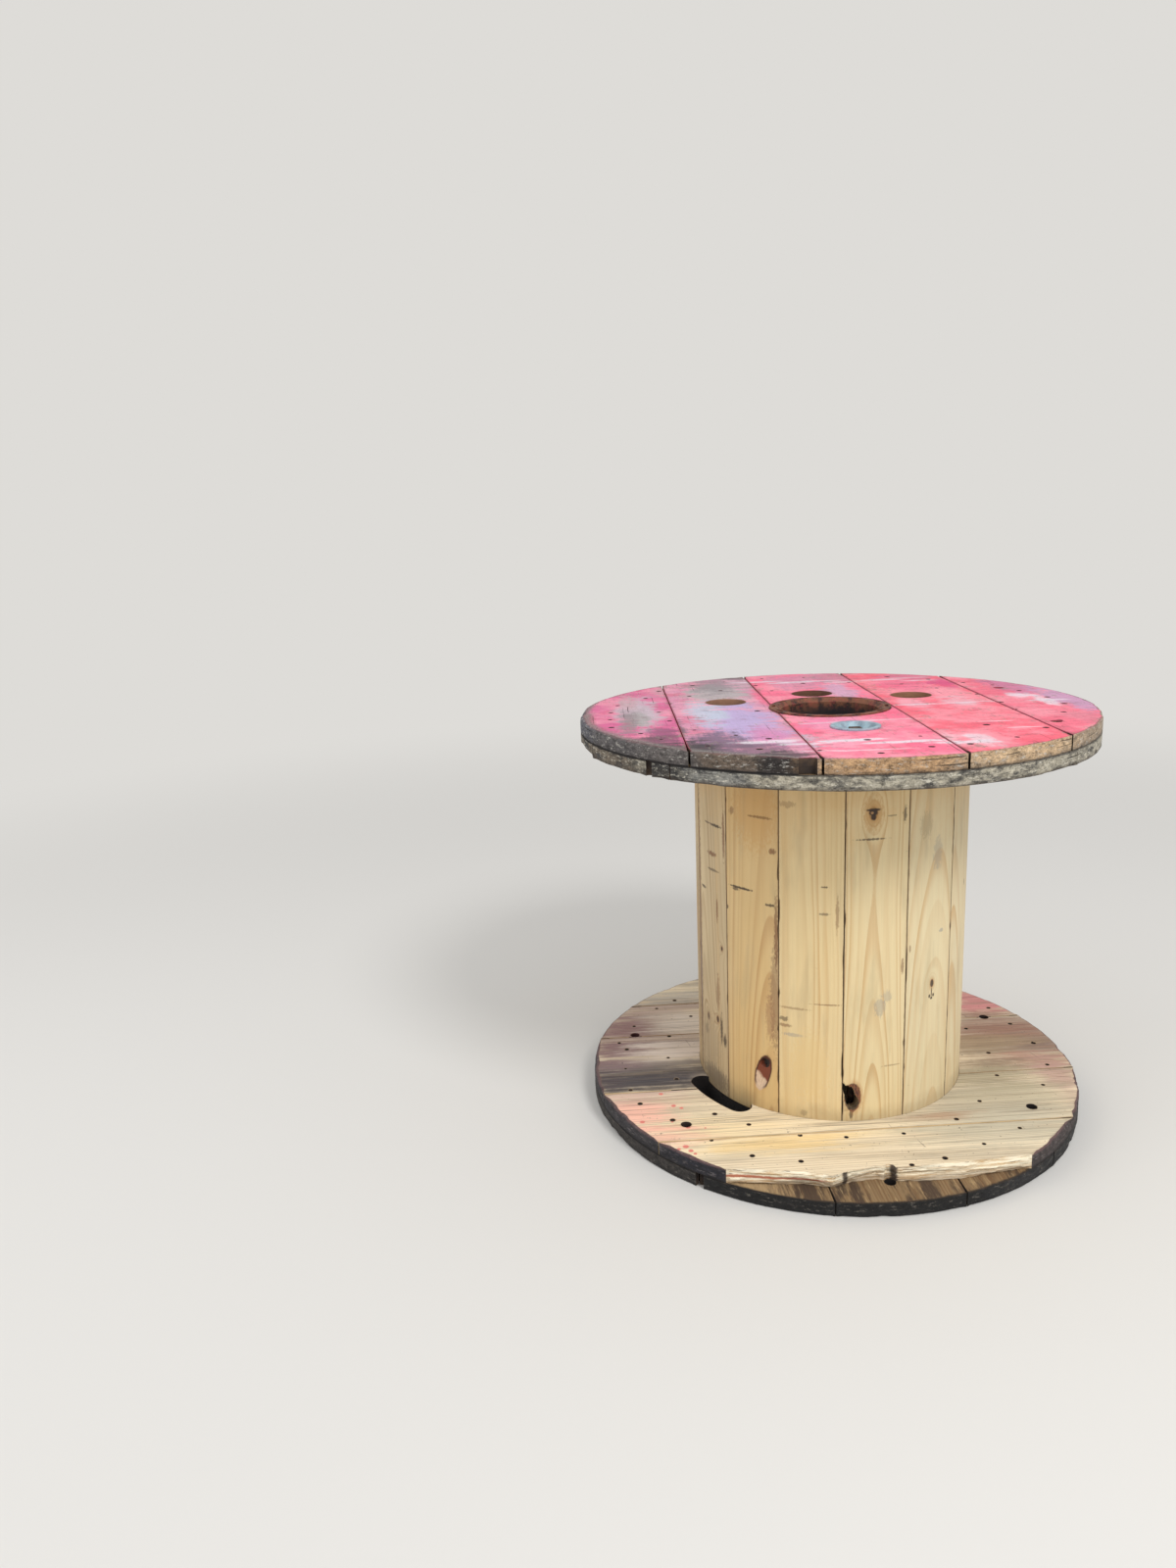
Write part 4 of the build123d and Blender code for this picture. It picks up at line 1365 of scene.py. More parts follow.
def boardSide(layerName):
    look = rimLooks[layerName] | sideLook
    layer = layers[layerName]
    thick = drum["board"] * mm
    r, local, _, grain = boardRecipe(layerName, "side", oldPine)
    colour = grain["colour"]
    x, y, z = r.split(r.coords)
    azimuth = r.mul(r.math("ARCTAN2", y, x), 180 / math.pi)
    blotch = r.noise(r.coords, 36.0, 4.0, 0.65)
    lines = r.noise(r.coords, (16.0, 16.0, 260.0), 4.0, 0.7)
    ragged = r.swing(blotch, 14.0)
    for middle, reach, tint, strength in look["arcs"]:
        gap = r.math("ABSOLUTE", r.math("WRAP", r.sub(azimuth, float(middle)), 180.0, -180.0))
        soft = min(0.45 * reach, 6.0)
        mask = r.step(reach + soft, reach - soft, r.add(gap, r.mul(ragged, min(1.0, reach / 12))))
        colour = r.lay(colour, mask, strength, tint)
    # Weather leaves dark blots, pale raised fibres and a coarse grit
    dark = r.noise(r.coords, (20.0, 20.0, 60.0), 5.0, 0.78)
    dark = r.step(look["blotsFrom"], look["blotsFrom"] + 0.2, dark)
    colour = r.lay(colour, dark, look["blotsShow"], look["blots"])
    speck = r.noise(r.coords, 380.0, 3.0, 0.8)
    coarse = r.noise(r.coords, (85.0, 85.0, 150.0), 3.0, 0.85)
    grit = r.add(r.swing(speck, look["speck"]), r.swing(coarse, look["coarse"]))
    mottle = r.swing(r.noise(r.coords, (48.0, 48.0, 90.0), 4.0, 0.75), 1.2)
    colour = r.shade(colour, r.add(r.add(1.0, mottle), r.add(grit, r.swing(lines, 0.5))))
    raised = r.step(0.54, 0.66, r.noise(r.coords, (70.0, 70.0, 210.0), 4.0, 0.8))
    colour = r.lay(colour, raised, look["paleShow"], look["pale"])
    depth = r.sub(z, layer["low"] * mm)
    drip = r.swing(blotch, 0.011)
    # The foot of each board's edge is painted darker, as shade where it meets the board or the ground below
    foot = r.step(0.009, 0.0, r.add(depth, drip))
    colour = r.lay(colour, foot, look["footShow"], look["foot"])
    lip = r.step(thick - look["lipReach"] * mm, thick, r.add(depth, r.mul(drip, 0.7)))
    colour = r.lay(colour, lip, look["lipShow"], look["lip"])
    # A dark line where the two layers meet, strongest along the front left
    face = thick if layer["face"] == "up" else 0.0
    meet = r.apart(depth, thick - face)
    meet = r.step(0.0030, 0.0014, r.add(meet, r.mul(r.sub(blotch, 0.47), 0.005)))
    meet = r.mul(meet, r.add(0.55, r.mul(r.step(-92.0, -99.0, azimuth), 0.4)))
    colour = r.mix(meet, colour, look["meet"])
    splits = r.step(0.66, 0.71, r.noise(r.coords, (9.0, 9.0, 300.0), 2.0, 0.5))
    colour = r.lay(colour, splits, look["splitShow"], look["split"])
    # Inside the seams and holes the wood is brown and dirty, and painted darker further in as shade
    inside = r.step(0.65, 0.35, r.attribute("rim"))
    wall = r.mix(r.step(0.4, 0.65, blotch), look["wall"], look["wallDark"])
    wall = r.shade(wall, r.add(0.6, r.mul(grain["fibre"], 0.7)))
    sunk = r.apart(depth, face)
    wall = r.lay(wall, r.step(0.003, 0.02, sunk), look["deepShadeShow"], look["deep"])
    wall = r.mix(r.step(0.0022, 0.0012, sunk), wall, look["seamLip"])
    wall = r.lay(wall, r.step(0.438, 0.442, r.flatGap(r.coords)), look["rimEndShow"], look["rimEnd"])
    # At the front the walls are painted pale, as sunlight
    if layerName == "bottom_inner":
        wall = r.lay(wall, r.step(-0.17, -0.21, y), tornLook["sunlitFrontShow"], tornLook["front"])
    shading = r.mul(look["boreShade"], r.add(0.3, r.mul(r.add(lines, blotch), 0.7)))
    for boreX, boreY, reach, tint in look["bores"]:
        near = r.step((reach + 4) * mm, (reach + 2) * mm, r.flatGap(r.coords, (boreX, boreY)))
        wall = r.mix(near, wall, r.shade(tint, shading))
    colour = r.mix(inside, colour, wall)
    if layerName == "bottom_inner":
        torn, fresh = tornWood(r, local, blotch, lines)
        colour = r.mix(r.mul(inside, torn), colour, fresh)
    height = r.add(r.mul(lines, 0.7), r.mul(grain["height"], 0.3))
    height = r.sub(height, r.mul(splits, 0.8))
    return r.finish(colour, r.add(0.8, r.mul(lines, 0.15)), height, 0.0016, 0.8)


brownPine = freshPine | {
    "early": "8c7352",
    "late": "745436",
    "streak": "684a30",
    "tone": "886d4a",
    "ringShow": 0.8,
    "streakShow": 0.8,
    "fibreShow": 0.5,
}
hiddenLook = {
    "clean": "c4a87e", "cleanShow": 0.6, "dark": "3e2e25", "pale": "ceb284",
    # slot is painted shade round the slot
    "paleShow": 0.55, "rim": "221c1a", "slot": "1a1412",
}


def hiddenFace(layerName):
    # The faces that meet inside a flange, seen where a board is broken or bored
    look = hiddenLook
    r, _, point, grain = boardRecipe(layerName, "hidden", brownPine)
    dark = r.noise(point, (4.0, 26.0, 26.0), 5.0, 0.75)
    clean = r.step(-0.03, -0.1, r.add(r.split(r.coords)[0], r.swing(dark, 0.1)))
    colour = r.lay(grain["colour"], clean, look["cleanShow"], look["clean"])
    darkest = r.sub(0.85, r.mul(clean, 0.5))
    colour = r.lay(colour, r.step(0.45, 0.56, dark), darkest, look["dark"])
    pale = r.step(0.54, 0.7, r.noise(point, (14.0, 120.0, 120.0), 4.0, 0.7))
    colour = r.lay(colour, pale, look["paleShow"], look["pale"])
    rimGap = r.sub(drum["flangeRadius"] * mm, r.flatGap(r.coords))
    colour = r.mix(r.step(0.006, 0.0, r.add(rimGap, r.swing(dark, 0.014))), colour, look["rim"])
    # Round the slot the hidden faces are painted near black, as shade
    slot = r.step(0.094, 0.088, r.flatGap(r.coords, startSlot))
    colour = r.mix(slot, colour, look["slot"])
    return r.finish(colour, 0.82, r.add(grain["height"], dark), 0.0012, 0.7)


for layerName in layers:
    nails = nailSpots(layerName)
    faceMaterial = paintedFace(layerName) if layerName == "top_outer" else stainedFace(layerName)
    sideMaterial = boardSide(layerName)
    hiddenMaterial = hiddenFace(layerName)
    for number in range(1, boardCount + 1):
        buildBoard(layerName, number, faceMaterial, sideMaterial, hiddenMaterial, nails)
    print("boards built:", layerName)


# Nail heads, sunk in their pits, and the two nails left bare where the board broke off
nailMake = {
    "head": 3.6, "shaft": 1.7, "length": 9.0, "sides": 9, "sink": 1.9, "sinkMore": 0.9, "seed": 77,
    "bareHeight": 21.0, "crease": 40,
}


def nailMesh(places, outline):
    # A turned shape, given as (radius, height), set down at every place
    sides = nailMake["sides"]
    vertices = []
    faces = []
    for x, y, z, turn, size in places:
        base = len(vertices)
        for radius, height in outline:
            for k in range(sides):
                angle = turn + k * 2 * math.pi / sides
                reach = radius * size
                vertices.append((x + reach * math.cos(angle), y + reach * math.sin(angle), z + height))
        for level in range(len(outline) - 1):
            for k in range(sides):
                m = (k + 1) % sides
                a = base + level * sides
                faces.append((a + k, a + m, a + sides + m, a + sides + k))
        faces.append(tuple(base + k for k in range(sides)))
        faces.append(tuple(base + (len(outline) - 1) * sides + k for k in reversed(range(sides))))
    return np.array(vertices), faces


def makeNails(layerName, nails, material):
    top = layers[layerName]["low"] + drum["board"]
    across = onCircle(1, layers[layerName]["direction"] + 90)
    draw = np.random.RandomState(nailMake["seed"])
    h, s, long = nailMake["head"], nailMake["shaft"], nailMake["length"]
    places = []
    for x, y, size in nails:
        sink = nailMake["sink"] + draw.uniform(0, nailMake["sinkMore"])
        turn = draw.uniform(0, 2)
        if layerName != "bottom_inner" or np.dot((x, y), across) > splitEdge["across"] + 8:
            places.append((x, y, top - sink, turn, size))
    outline = [(s, -long), (s, -1.4), (0.92 * h, -1.2), (h, -0.6), (0.86 * h, -0.1), (0.4 * h, 0.1)]
    vertices, faces = nailMesh(places, outline)
    if layerName == "bottom_inner":
        along = onCircle(1, layers[layerName]["direction"])
        low = layers[layerName]["low"]
        bare = [(*(along * a + across * b), low, 0.3, 1.0) for a, b in bareNails]
        high = nailMake["bareHeight"]
        shank = [(1.5, -4.0), (1.7, 0.0), (1.5, 0.5 * high)]
        shank += [(1.8, high - 2.4), (3.4, high - 2.0), (3.6, high - 1.0), (1.6, high)]
        more, moreFaces = nailMesh(bare, shank)
        faces += [tuple(v + len(vertices) for v in face) for face in moreFaces]
        vertices = np.concatenate((vertices, more))
    piece = finishMesh(f"nails_{layerName}", vertices, faces, [0] * len(faces), {}, nailMake["crease"])
    adopt(piece, [], [material])


# Splinters left standing along the break, in the lower flange's own grain: start and end as
# (along, across, height), and the width and thickness at the middle
splinters = {
    "long": ((-66, -291.5, 39.5), (14, -290.5, 46.5), 8.0, 4.5),
    "upper": ((-8, -288.5, 47.5), (60, -290.0, 45.0), 5.0, 3.4),
    "right": ((120, -287.0, 47.0), (215, -288.5, 44.5), 5.5, 4.0),
    "low": ((-150, -288.0, 33.0), (-84, -289.5, 35.0), 4.5, 4.0),
    "thin": ((60, -289.0, 37.0), (112, -290.0, 41.0), 4.0, 3.0),
}
splinterMake = {"steps": 14, "around": 7, "rough": 0.22, "crease": 30, "seed": 300}


def makeSplinters(material):
    direction = layers["bottom_inner"]["direction"]
    along, across = onCircle(1, direction), onCircle(1, direction + 90)
    vertices = []
    faces = []
    s = splinterMake
    steps = s["steps"]
    around = s["around"]
    for number, (start, end, width, thick) in enumerate(splinters.values()):
        base = len(vertices)
        draw = np.random.RandomState(s["seed"] + number)
        for k in range(steps + 1):
            t = k / steps
            a, b, z = np.array(start) + (np.array(end) - np.array(start)) * t
            swell = max(0.06, math.sin(math.pi * min(1, 0.08 + 0.9 * t)) ** 0.6) if k < steps else 0.35
            for m in range(around):
                angle = 2 * math.pi * m / around
                rough = 1 + draw.uniform(-s["rough"], s["rough"])
                side = 0.5 * thick * swell * math.cos(angle) * rough
                up = 0.5 * width * swell * math.sin(angle) * rough
                x, y = along * a + across * (b + side)
                vertices.append((x, y, z + up))
        for k in range(steps):
            for m in range(around):
                n = (m + 1) % around
                c = base + k * around
                faces.append((c + m, c + n, c + around + n, c + around + m))
        faces.append(tuple(base + m for m in range(around)))
        faces.append(tuple(base + steps * around + m for m in reversed(range(around))))
    kinds = [0] * len(faces)
    piece = finishMesh("splinters_bottom_inner", np.array(vertices), faces, kinds, {}, s["crease"])
    adopt(piece, [], [material])


splinterLook = {"pale": "f2e8ce", "tan": "bc986a", "brown": "96704e", "brownShow": 0.35}


def splinterWood():
    look = splinterLook
    r = Recipe("splinterWood")
    local = r.turn(r.coords, -layers["bottom_inner"]["direction"])
    fibres = r.noise(local, (10.0, 260.0, 420.0), 4.0, 0.75)
    colour = r.mix(r.step(0.44, 0.66, fibres), look["pale"], look["tan"])
    broad = r.noise(r.coords, 60.0, 3.0, 0.6)
    colour = r.lay(colour, r.step(0.52, 0.7, broad), look["brownShow"], look["brown"])
    return r.finish(colour, 0.8, fibres, 0.0012, 0.8)


nailLook = {"base": "4a3026", "dark": "281e1c", "rust": "7e523a", "rustShow": 0.5}


def nailSteel():
    look = nailLook
    r = Recipe("nailSteel")
    broad = r.noise(r.coords, 130.0, 3.0, 0.6)
    fine = r.noise(r.coords, 700.0, 3.0, 0.7)
    colour = r.mix(r.step(0.4, 0.65, broad), look["base"], look["dark"])
    colour = r.lay(colour, r.step(0.55, 0.75, fine), look["rustShow"], look["rust"])
    return r.finish(colour, r.add(0.6, r.mul(fine, 0.3)), fine, 0.0004, 0.6, 0.3)


nailFinish = nailSteel()
for layerName, layer in layers.items():
    if layer["face"] == "up":
        makeNails(layerName, nailSpots(layerName), nailFinish)
makeSplinters(splinterWood())
print("nails and splinters set")


# Barrel staves. Places on a stave are (height, distance to the right of its middle as seen
# from outside); marks are (height, side, half height, half width, colour, strength)
staveAngle = 2 * math.pi / drum["staveCount"]
inkBrown = "34261e"
stainBrown = "784e30"
smudge = "86888c"
staveLooks = {
    1: {
        "early": "e6d2a4", "pithAcross": 0.004, "pithDepth": 0.031, "rise": 0.022, "tilt": 0.0,
        "knots": [(606, -10, 7.5, "dead")],
        "marks": [
            (606, -10, 27, 15, "c08e4e", 0.5), (562, -12, 1.6, 22, inkBrown, 0.75),
            (600, 22, 1.2, 8, inkBrown, 0.5), (612, -10, 2.6, 11, inkBrown, 0.95),
            (607, -10, 4, 7.5, inkBrown, 0.95), (600.5, -9.5, 6, 4, inkBrown, 0.95),
            (607, -12, 2, 2.4, "b08658", 0.95), (262, 8, 16, 9, smudge, 0.38),
            (280, 20, 10, 8, smudge, 0.3), (150, 30, 1.4, 14, stainBrown, 0.4),
            (600, 46, 12, 3, inkBrown, 0.7), (330, 48, 14, 2.5, stainBrown, 0.6),
            (68, -40, 12, 3, inkBrown, 0.8),
        ],
    },
    2: {
        "early": "e2d2aa", "pithAcross": -0.012, "pithDepth": 0.07, "rise": 0.04,
        "knots": [(285, 4.5, 4.5, "dead")],
        "marks": [
            (268, 4, 9, 1.1, inkBrown, 0.92), (262, -1, 3, 2.2, inkBrown, 0.92),
            (262, 9, 3, 2.2, inkBrown, 0.92), (257.5, 4, 2.2, 2.6, inkBrown, 0.92),
            (378, 26, 3, 5, smudge, 0.5), (360, -48, 5, 2, stainBrown, 0.6), (520, 10, 26, 10, smudge, 0.3),
            (575, -20, 20, 12, "a89674", 0.4),
        ],
    },
    3: {
        "early": "e0d0aa", "pithAcross": 0.03, "pithDepth": 0.05, "marks": [(440, 10, 5, 3, inkBrown, 0.5)],
    },
    14: {
        "early": "e4cc9a", "pithAcross": 0.02, "pithDepth": 0.045, "rise": 0.012, "wobble": 0.024,
        "marks": [
            (480, 23, 1.4, 6, inkBrown, 0.7), (432, 23, 2.0, 8, inkBrown, 0.55),
            (430, 44, 30, 2.4, stainBrown, 0.5), (268, 30, 1.2, 22, stainBrown, 0.6),
            (256, -30, 2.0, 24, stainBrown, 0.45), (234, -46, 4, 7, inkBrown, 0.6),
            (222, -44, 3, 9, stainBrown, 0.6), (206, -30, 3, 18, smudge, 0.45),
            (620, -40, 5, 12, stainBrown, 0.35), (60, -10, 5, 6, inkBrown, 0.35),
            (150, 0, 60, 30, "e2c48a", 0.5),
        ],
    },
    13: {
        "early": "d8b880", "late": "b0804a", "pithAcross": -0.035, "pithDepth": 0.05,
        "marks": [
            (592, 22, 2.2, 20, inkBrown, 0.85), (592, 2, 1.6, 6, inkBrown, 0.7),
            (458, -22, 2.0, 24, inkBrown, 0.9), (454, -32, 2.4, 8, inkBrown, 0.7),
            (438, 40, 2.2, 9, inkBrown, 0.8), (535, 44, 5, 6, stainBrown, 0.8),
            (270, 50, 90, 9, "70503e", 0.5), (390, 51, 60, 3.0, stainBrown, 0.7),
            (595, -40, 6, 6, stainBrown, 0.6), (230, 40, 40, 8, "966a4a", 0.5),
            (416, -54, 4, 3, inkBrown, 0.9), (600, 10, 60, 40, "cc9a58", 0.45),
        ],
    },
    12: {
        "early": "c8b28c", "late": "96724c", "pithAcross": 0.02, "pithDepth": 0.03, "tilt": 0.02,
        "knots": [(178, -13, 5, "dead"), (186, 24, 4.5, "dead"), (330, 40, 3, "dead")],
        "marks": [
            (557, 24, 2.4, 18, inkBrown, 0.85), (557, -6, 1.8, 10, inkBrown, 0.6),
            (502, 10, 4, 14, stainBrown, 0.8), (472, 14, 2.4, 18, inkBrown, 0.6),
            (430, -26, 2.6, 10, inkBrown, 0.8), (400, 26, 20, 3, stainBrown, 0.7),
            (545, 48, 40, 3, stainBrown, 0.7), (150, -22, 10, 7, inkBrown, 0.6),
            (170, 36, 26, 3, inkBrown, 0.8), (152, 46, 12, 4, inkBrown, 0.8),
            (330, -50, 260, 7, "785436", 0.75), (250, -56, 90, 8, smudge, 0.4),
            (64, 10, 22, 44, "685c50", 0.7), (240, 26, 30, 5, stainBrown, 0.5),
            (130, -10, 50, 36, "ac987a", 0.5),
        ],
    },
    11: {"early": "bca680", "marks": [(300, 40, 200, 12, "8c7052", 0.5)]},
}
knotHole = {
    "stave": 1, "middle": (-37.6, 95.5), "radii": (14.0, 26.0),
    # Its torn outline, from the top, as (distance in from the stave's edge, height)
    "edge": [
        (0, 123), (2.5, 121.5), (5, 117.5), (9, 118.5), (12, 115), (15, 116), (18, 112), (20.5, 107),
        (21, 101), (24.5, 96), (28, 90), (28.5, 83), (25.5, 77), (22, 72.5), (18, 70.5), (15, 73), (12, 71),
        (9.5, 74.5), (7.5, 80), (5.5, 83), (5, 90), (3, 94), (3.5, 100), (1.5, 104), (0, 106),
    ],
    "halo": "ba8650", "haloShow": 0.5, "lining": "84563a", "liningDark": "4a2c28",
}
bigKnot = {
    "stave": 13, "middle": (25.0, 120.0), "radii": (14.0, 35.0), "lean": -15.0, "depth": 2.2,
    "hole": ((26.5, 139.0), (7.5, 11.0), -20.0, 9.0),  # a deeper hollow in it: middle, radii, lean, depth
    "pale": "dec2a6", "red": "7a3c26", "lines": "683422", "linesShow": 0.45,
    # the hollow's colour is painted shade, near black
    "hollowShade": "1c0e0c", "halo": "b47c48", "haloShow": 0.15,
    "rim": "422016", "rimShow": 0.85,
}
# How a stave is dressed, in mm
staveMake = {
    "thick": drum["barrelRadius"] - drum["staveInner"], "arris": 0.6, "edgeStep": 5.0, "wallSteps": 3,
    "spacing": 8.0, "soft": 0.45, "jointGap": 0.45, "seed": 400,
}


def staveMiddle(number):
    return drum["firstJoint"] + (number - 0.5) * 360 / drum["staveCount"]


def buildStave(number, faceMaterial, sideMaterial):
    nodeName = f"stave_{number:02d}"
    middle = math.radians(staveMiddle(number))
    radius = drum["barrelRadius"]
    halfWidth = (staveAngle / 2 - staveMake["jointGap"] / radius) * radius
    low = lowerTop - drum["grooveDepth"]
    high = upperBottom + drum["grooveDepth"]
    outline = [(-halfWidth, low), (halfWidth, low), (halfWidth, high), (-halfWidth, high)]
    if number == knotHole["stave"]:
        outline += [(-halfWidth + inset, height) for inset, height in knotHole["edge"]]
    loops = [np.array(outline)]
    features = Features()
    if number == bigKnot["stave"]:
        features.hollow(bigKnot["middle"], bigKnot["radii"], bigKnot["lean"], bigKnot["depth"])
        features.hollow(*bigKnot["hole"])
    seed = staveMake["seed"] + number

    def waves(points):
        local = np.column_stack((points[:, 0] / 14.0, points[:, 1] / 120.0, np.full(len(points), 0.5)))
        return 0.14 * (1 + smoothNoise(local, seed))
    features.waves = waves

    def place(points, depth):
        turn = points[:, 0] / radius
        outer = np.column_stack((radius * np.cos(turn), radius * np.sin(turn)))
        inner = np.column_stack((np.full(len(turn), drum["staveInner"]), drum["staveInner"] * np.tan(turn)))
        share = np.minimum((np.zeros(len(turn)) + depth) / (radius - drum["staveInner"]), 1)
        flat = outer + (inner - outer) * share[:, None]
        c, s = math.cos(middle), math.sin(middle)
        x, y = flat[:, 0], flat[:, 1]
        return np.column_stack((x * c - y * s, x * s + y * c, points[:, 1]))

    def wear(ring, depth):
        # Small chips along the joints, and a torn wall in the knot hole
        spots = np.column_stack((ring[:, 0] / 30.0, ring[:, 1] / 40.0, depth / 12.0))
        chips = smoothStep(0.45, 0.9, smoothNoise(spots * 1.7, seed + 3)) * 1.3 * (depth < 6)
        outer = np.abs(ring[:, 0]) > halfWidth - 0.5
        inHole = (np.abs(ring[:, 0]) < halfWidth - 1) * (ring[:, 1] > low + 2) * (ring[:, 1] < high - 2)
        torn = 1.2 * np.abs(smoothNoise(spots * (6, 3, 2), seed + 8))
        return np.where(outer, 0.12 * (1 + smoothNoise(spots, seed)) + chips, inHole * torn * (depth > 1))

    s = dict(staveMake)
    s["rounding"] = lambda ring: np.full(len(ring), s["soft"])
    piece = buildPanel(f"dressed_{nodeName}", loops, s, place, features, wear)
    adopt(piece, [nodeName], [faceMaterial, sideMaterial, sideMaterial])


# What all staves share
woodLook = {
    "flangeShade": "d6a45c", "flangeShadeShow": 0.35, "dull": "b09e7a", "dullShow": 0.3,
    "side": "543628", "sideShow": 0.7, "sideDark": "301e1c", "sideDarkShow": 0.6,
    "stroke": "5c4432", "strokeShow": 0.5, "joint": "7e5634", "jointShow": 0.35,
    # pit is painted shade in pits and cracks
    "foot": "8c7454", "footShow": 0.35, "pit": "261812", "seed": 900,
}


def staveFace(number, side):
    own = staveLooks.get(number, {})
    look = woodLook
    draw = np.random.RandomState(look["seed"] + number)
    wood = freshPine | {"pithAcross": draw.uniform(-0.035, 0.035), "pithDepth": draw.uniform(0.035, 0.08)}
    wood |= {key: value for key, value in own.items() if key in freshPine}
    r = Recipe(f"stave_{'side' if side else 'face'}_{number}")
    x, y, z = r.split(r.turn(r.coords, -staveMiddle(number)))
    local = r.join(z, y, r.sub(x, drum["barrelRadius"] * mm))
    # Every stave takes its own stretch of the grain, with the pith at the same place
    shift = draw.uniform(-1, 1, 3) * (3.0, 0.0, 0.0)
    wood["pithDepth"] -= shift[0] * wood["rise"]
    wood["pithAcross"] -= shift[0] * wood["tilt"]
    point = r.vector("ADD", local, tuple(shift.tolist()))
    grain = woodGrain(r, point, local, wood, [] if side else own.get("knots", []))
    colour = grain["colour"]
    blotch = r.noise(r.coords, 22.0, 4.0, 0.6)
    # The upper part of every stave is painted golden and darker, as the shade under the upper flange
    flangeShade = r.step(0.52, 0.69, r.add(z, r.swing(blotch, 0.2)))
    colour = r.lay(colour, flangeShade, look["flangeShadeShow"], look["flangeShade"])
    dull = r.step(0.5, 0.72, r.noise(local, (5.0, 30.0, 1.0), 4.0, 0.6))
    colour = r.lay(colour, dull, look["dullShow"], look["dull"])
    if side:
        colour = r.mix(look["sideShow"], colour, look["side"])
        colour = r.lay(colour, r.step(0.45, 0.65, blotch), look["sideDarkShow"], look["sideDark"])
        return r.finish(colour, 0.8, grain["height"], 0.0008, 0.5)
    ragged = r.noise(local, (110.0, 260.0, 1.0), 4.0, 0.75)
    broken = r.swing(ragged, 3.0)
    for along, across, high, wide, tint, strength in own.get("marks", []):
        near = r.flatGap(local, (along, across), (high, wide))
        crisp = 0.25 if strength > 0.9 else 1.0  # the strongest marks have the cleanest edges
        mask = r.step(1.35, 0.75, r.add(near, r.mul(broken, crisp)))
        colour = r.lay(colour, mask, strength, tint)
    # Faint stains and strokes scattered over every stave
    strokes = r.noise(local, (420.0, 26.0, 1.0), 3.0, 0.6)
    strokes = r.mul(r.step(0.68, 0.74, strokes), r.step(0.55, 0.66, blotch))
    colour = r.lay(colour, strokes, look["strokeShow"], look["stroke"])
    joint = r.step(1.6, 0.2, r.add(r.attribute("edge"), r.swing(ragged, 4.0)))
    colour = r.lay(colour, joint, look["jointShow"], look["joint"])
    foot = r.step(0.085, 0.05, r.add(z, r.swing(blotch, 0.05)))
    colour = r.lay(colour, foot, look["footShow"], look["foot"])
    if number == bigKnot["stave"]:
        colour = knotColours(r, local, colour)
    if number == knotHole["stave"]:
        near = r.flatGap(local, knotHole["middle"][::-1], knotHole["radii"][::-1])
        gap = r.add(near, r.swing(ragged, 0.5))
        halo = r.mul(r.step(1.5, 1.05, gap), r.step(-0.05, -0.03, y))
        colour = r.lay(colour, halo, knotHole["haloShow"], knotHole["halo"])
        lining = r.mix(r.step(0.45, 0.6, ragged), knotHole["lining"], knotHole["liningDark"])
        colour = r.mix(r.step(1.1, 0.98, gap), colour, lining)
    # Pits and cracks are painted near black, as shade
    colour = r.mix(r.step(0.2, 0.9, r.attribute("cavity")), colour, look["pit"])
    rough = r.add(0.5, r.mul(grain["fibre"], 0.22))
    return r.finish(colour, rough, grain["height"], 0.0006, 0.45)


def knotColours(r, local, colour):
    # A loose knot: a hollow at its top painted near black as shade, red-brown below, and pale at the foot
    look = bigKnot
    side, height = look["middle"]
    turned = r.turn(r.vector("SUBTRACT", local, (height * mm, side * mm, 0)), look["lean"])
    x, y, _ = r.split(turned)
    shiver = r.swing(r.noise(local, 130.0, 3.0), 0.5)
    gap = r.add(r.flatGap(turned, radii=look["radii"][::-1]), r.mul(shiver, 0.4))
    foot = r.step(-0.012, -0.004, r.add(x, r.add(r.mul(y, 0.5), r.mul(shiver, 0.02))))
    body = r.mix(foot, look["pale"], look["red"])
    lines = r.step(0.4, 0.8, r.noise(turned, (60.0, 420.0, 1.0), 3.0, 0.6))
    body = r.lay(body, lines, look["linesShow"], look["lines"])
    hole = r.step(1.1, 0.85, r.add(r.flatGap(turned, (22, -1), (10, 9)), shiver))
    body = r.mix(hole, body, look["hollowShade"])
    rim = r.mul(r.step(0.84, 0.96, gap), r.step(1.15, 1.03, gap))
    rim = r.mul(rim, r.step(-0.034, -0.02, x))
    colour = r.lay(colour, r.step(1.5, 1.0, gap), look["haloShow"], look["halo"])
    colour = r.mix(r.step(1.08, 0.98, gap), colour, body)
    return r.lay(colour, rim, look["rimShow"], look["rim"])


for number in range(1, drum["staveCount"] + 1):
    buildStave(number, staveFace(number, False), staveFace(number, True))
print("staves built")


# Steel: rusted bushings, plain rods and fastenings, and one zinc-coated dished washer
steels = {
    "rustyBushing": {
        "nodes": ("bushing_top", "bushing_bottom"), "base": "7a4e38", "dark": "3a2620", "bright": "a86444",
        # deep is painted shade, darkening the bore further in
        "paint": "a84242", "paintShow": 0.3, "metal": 0.15, "rough": 0.72, "deep": "14141c",
    },
    "darkSteel": {
        "nodes": ("tie_rod", "washer_bottom", "washer_top", "nut_bottom", "nut_top"), "base": "685448",
        "dark": "362c28", "bright": "96684a", "paint": "685448", "paintShow": 0.0, "metal": 0.4,
        "rough": 0.6, "deep": None,
    },
    "zincSteel": {
        "nodes": ("dished_washer",), "base": "a0bac6", "dark": "8098a6", "bright": "b4ccd6",
        "paint": "c48494", "paintShow": 0.1, "metal": 0.3, "rough": 0.5, "deep": None,
    },
}


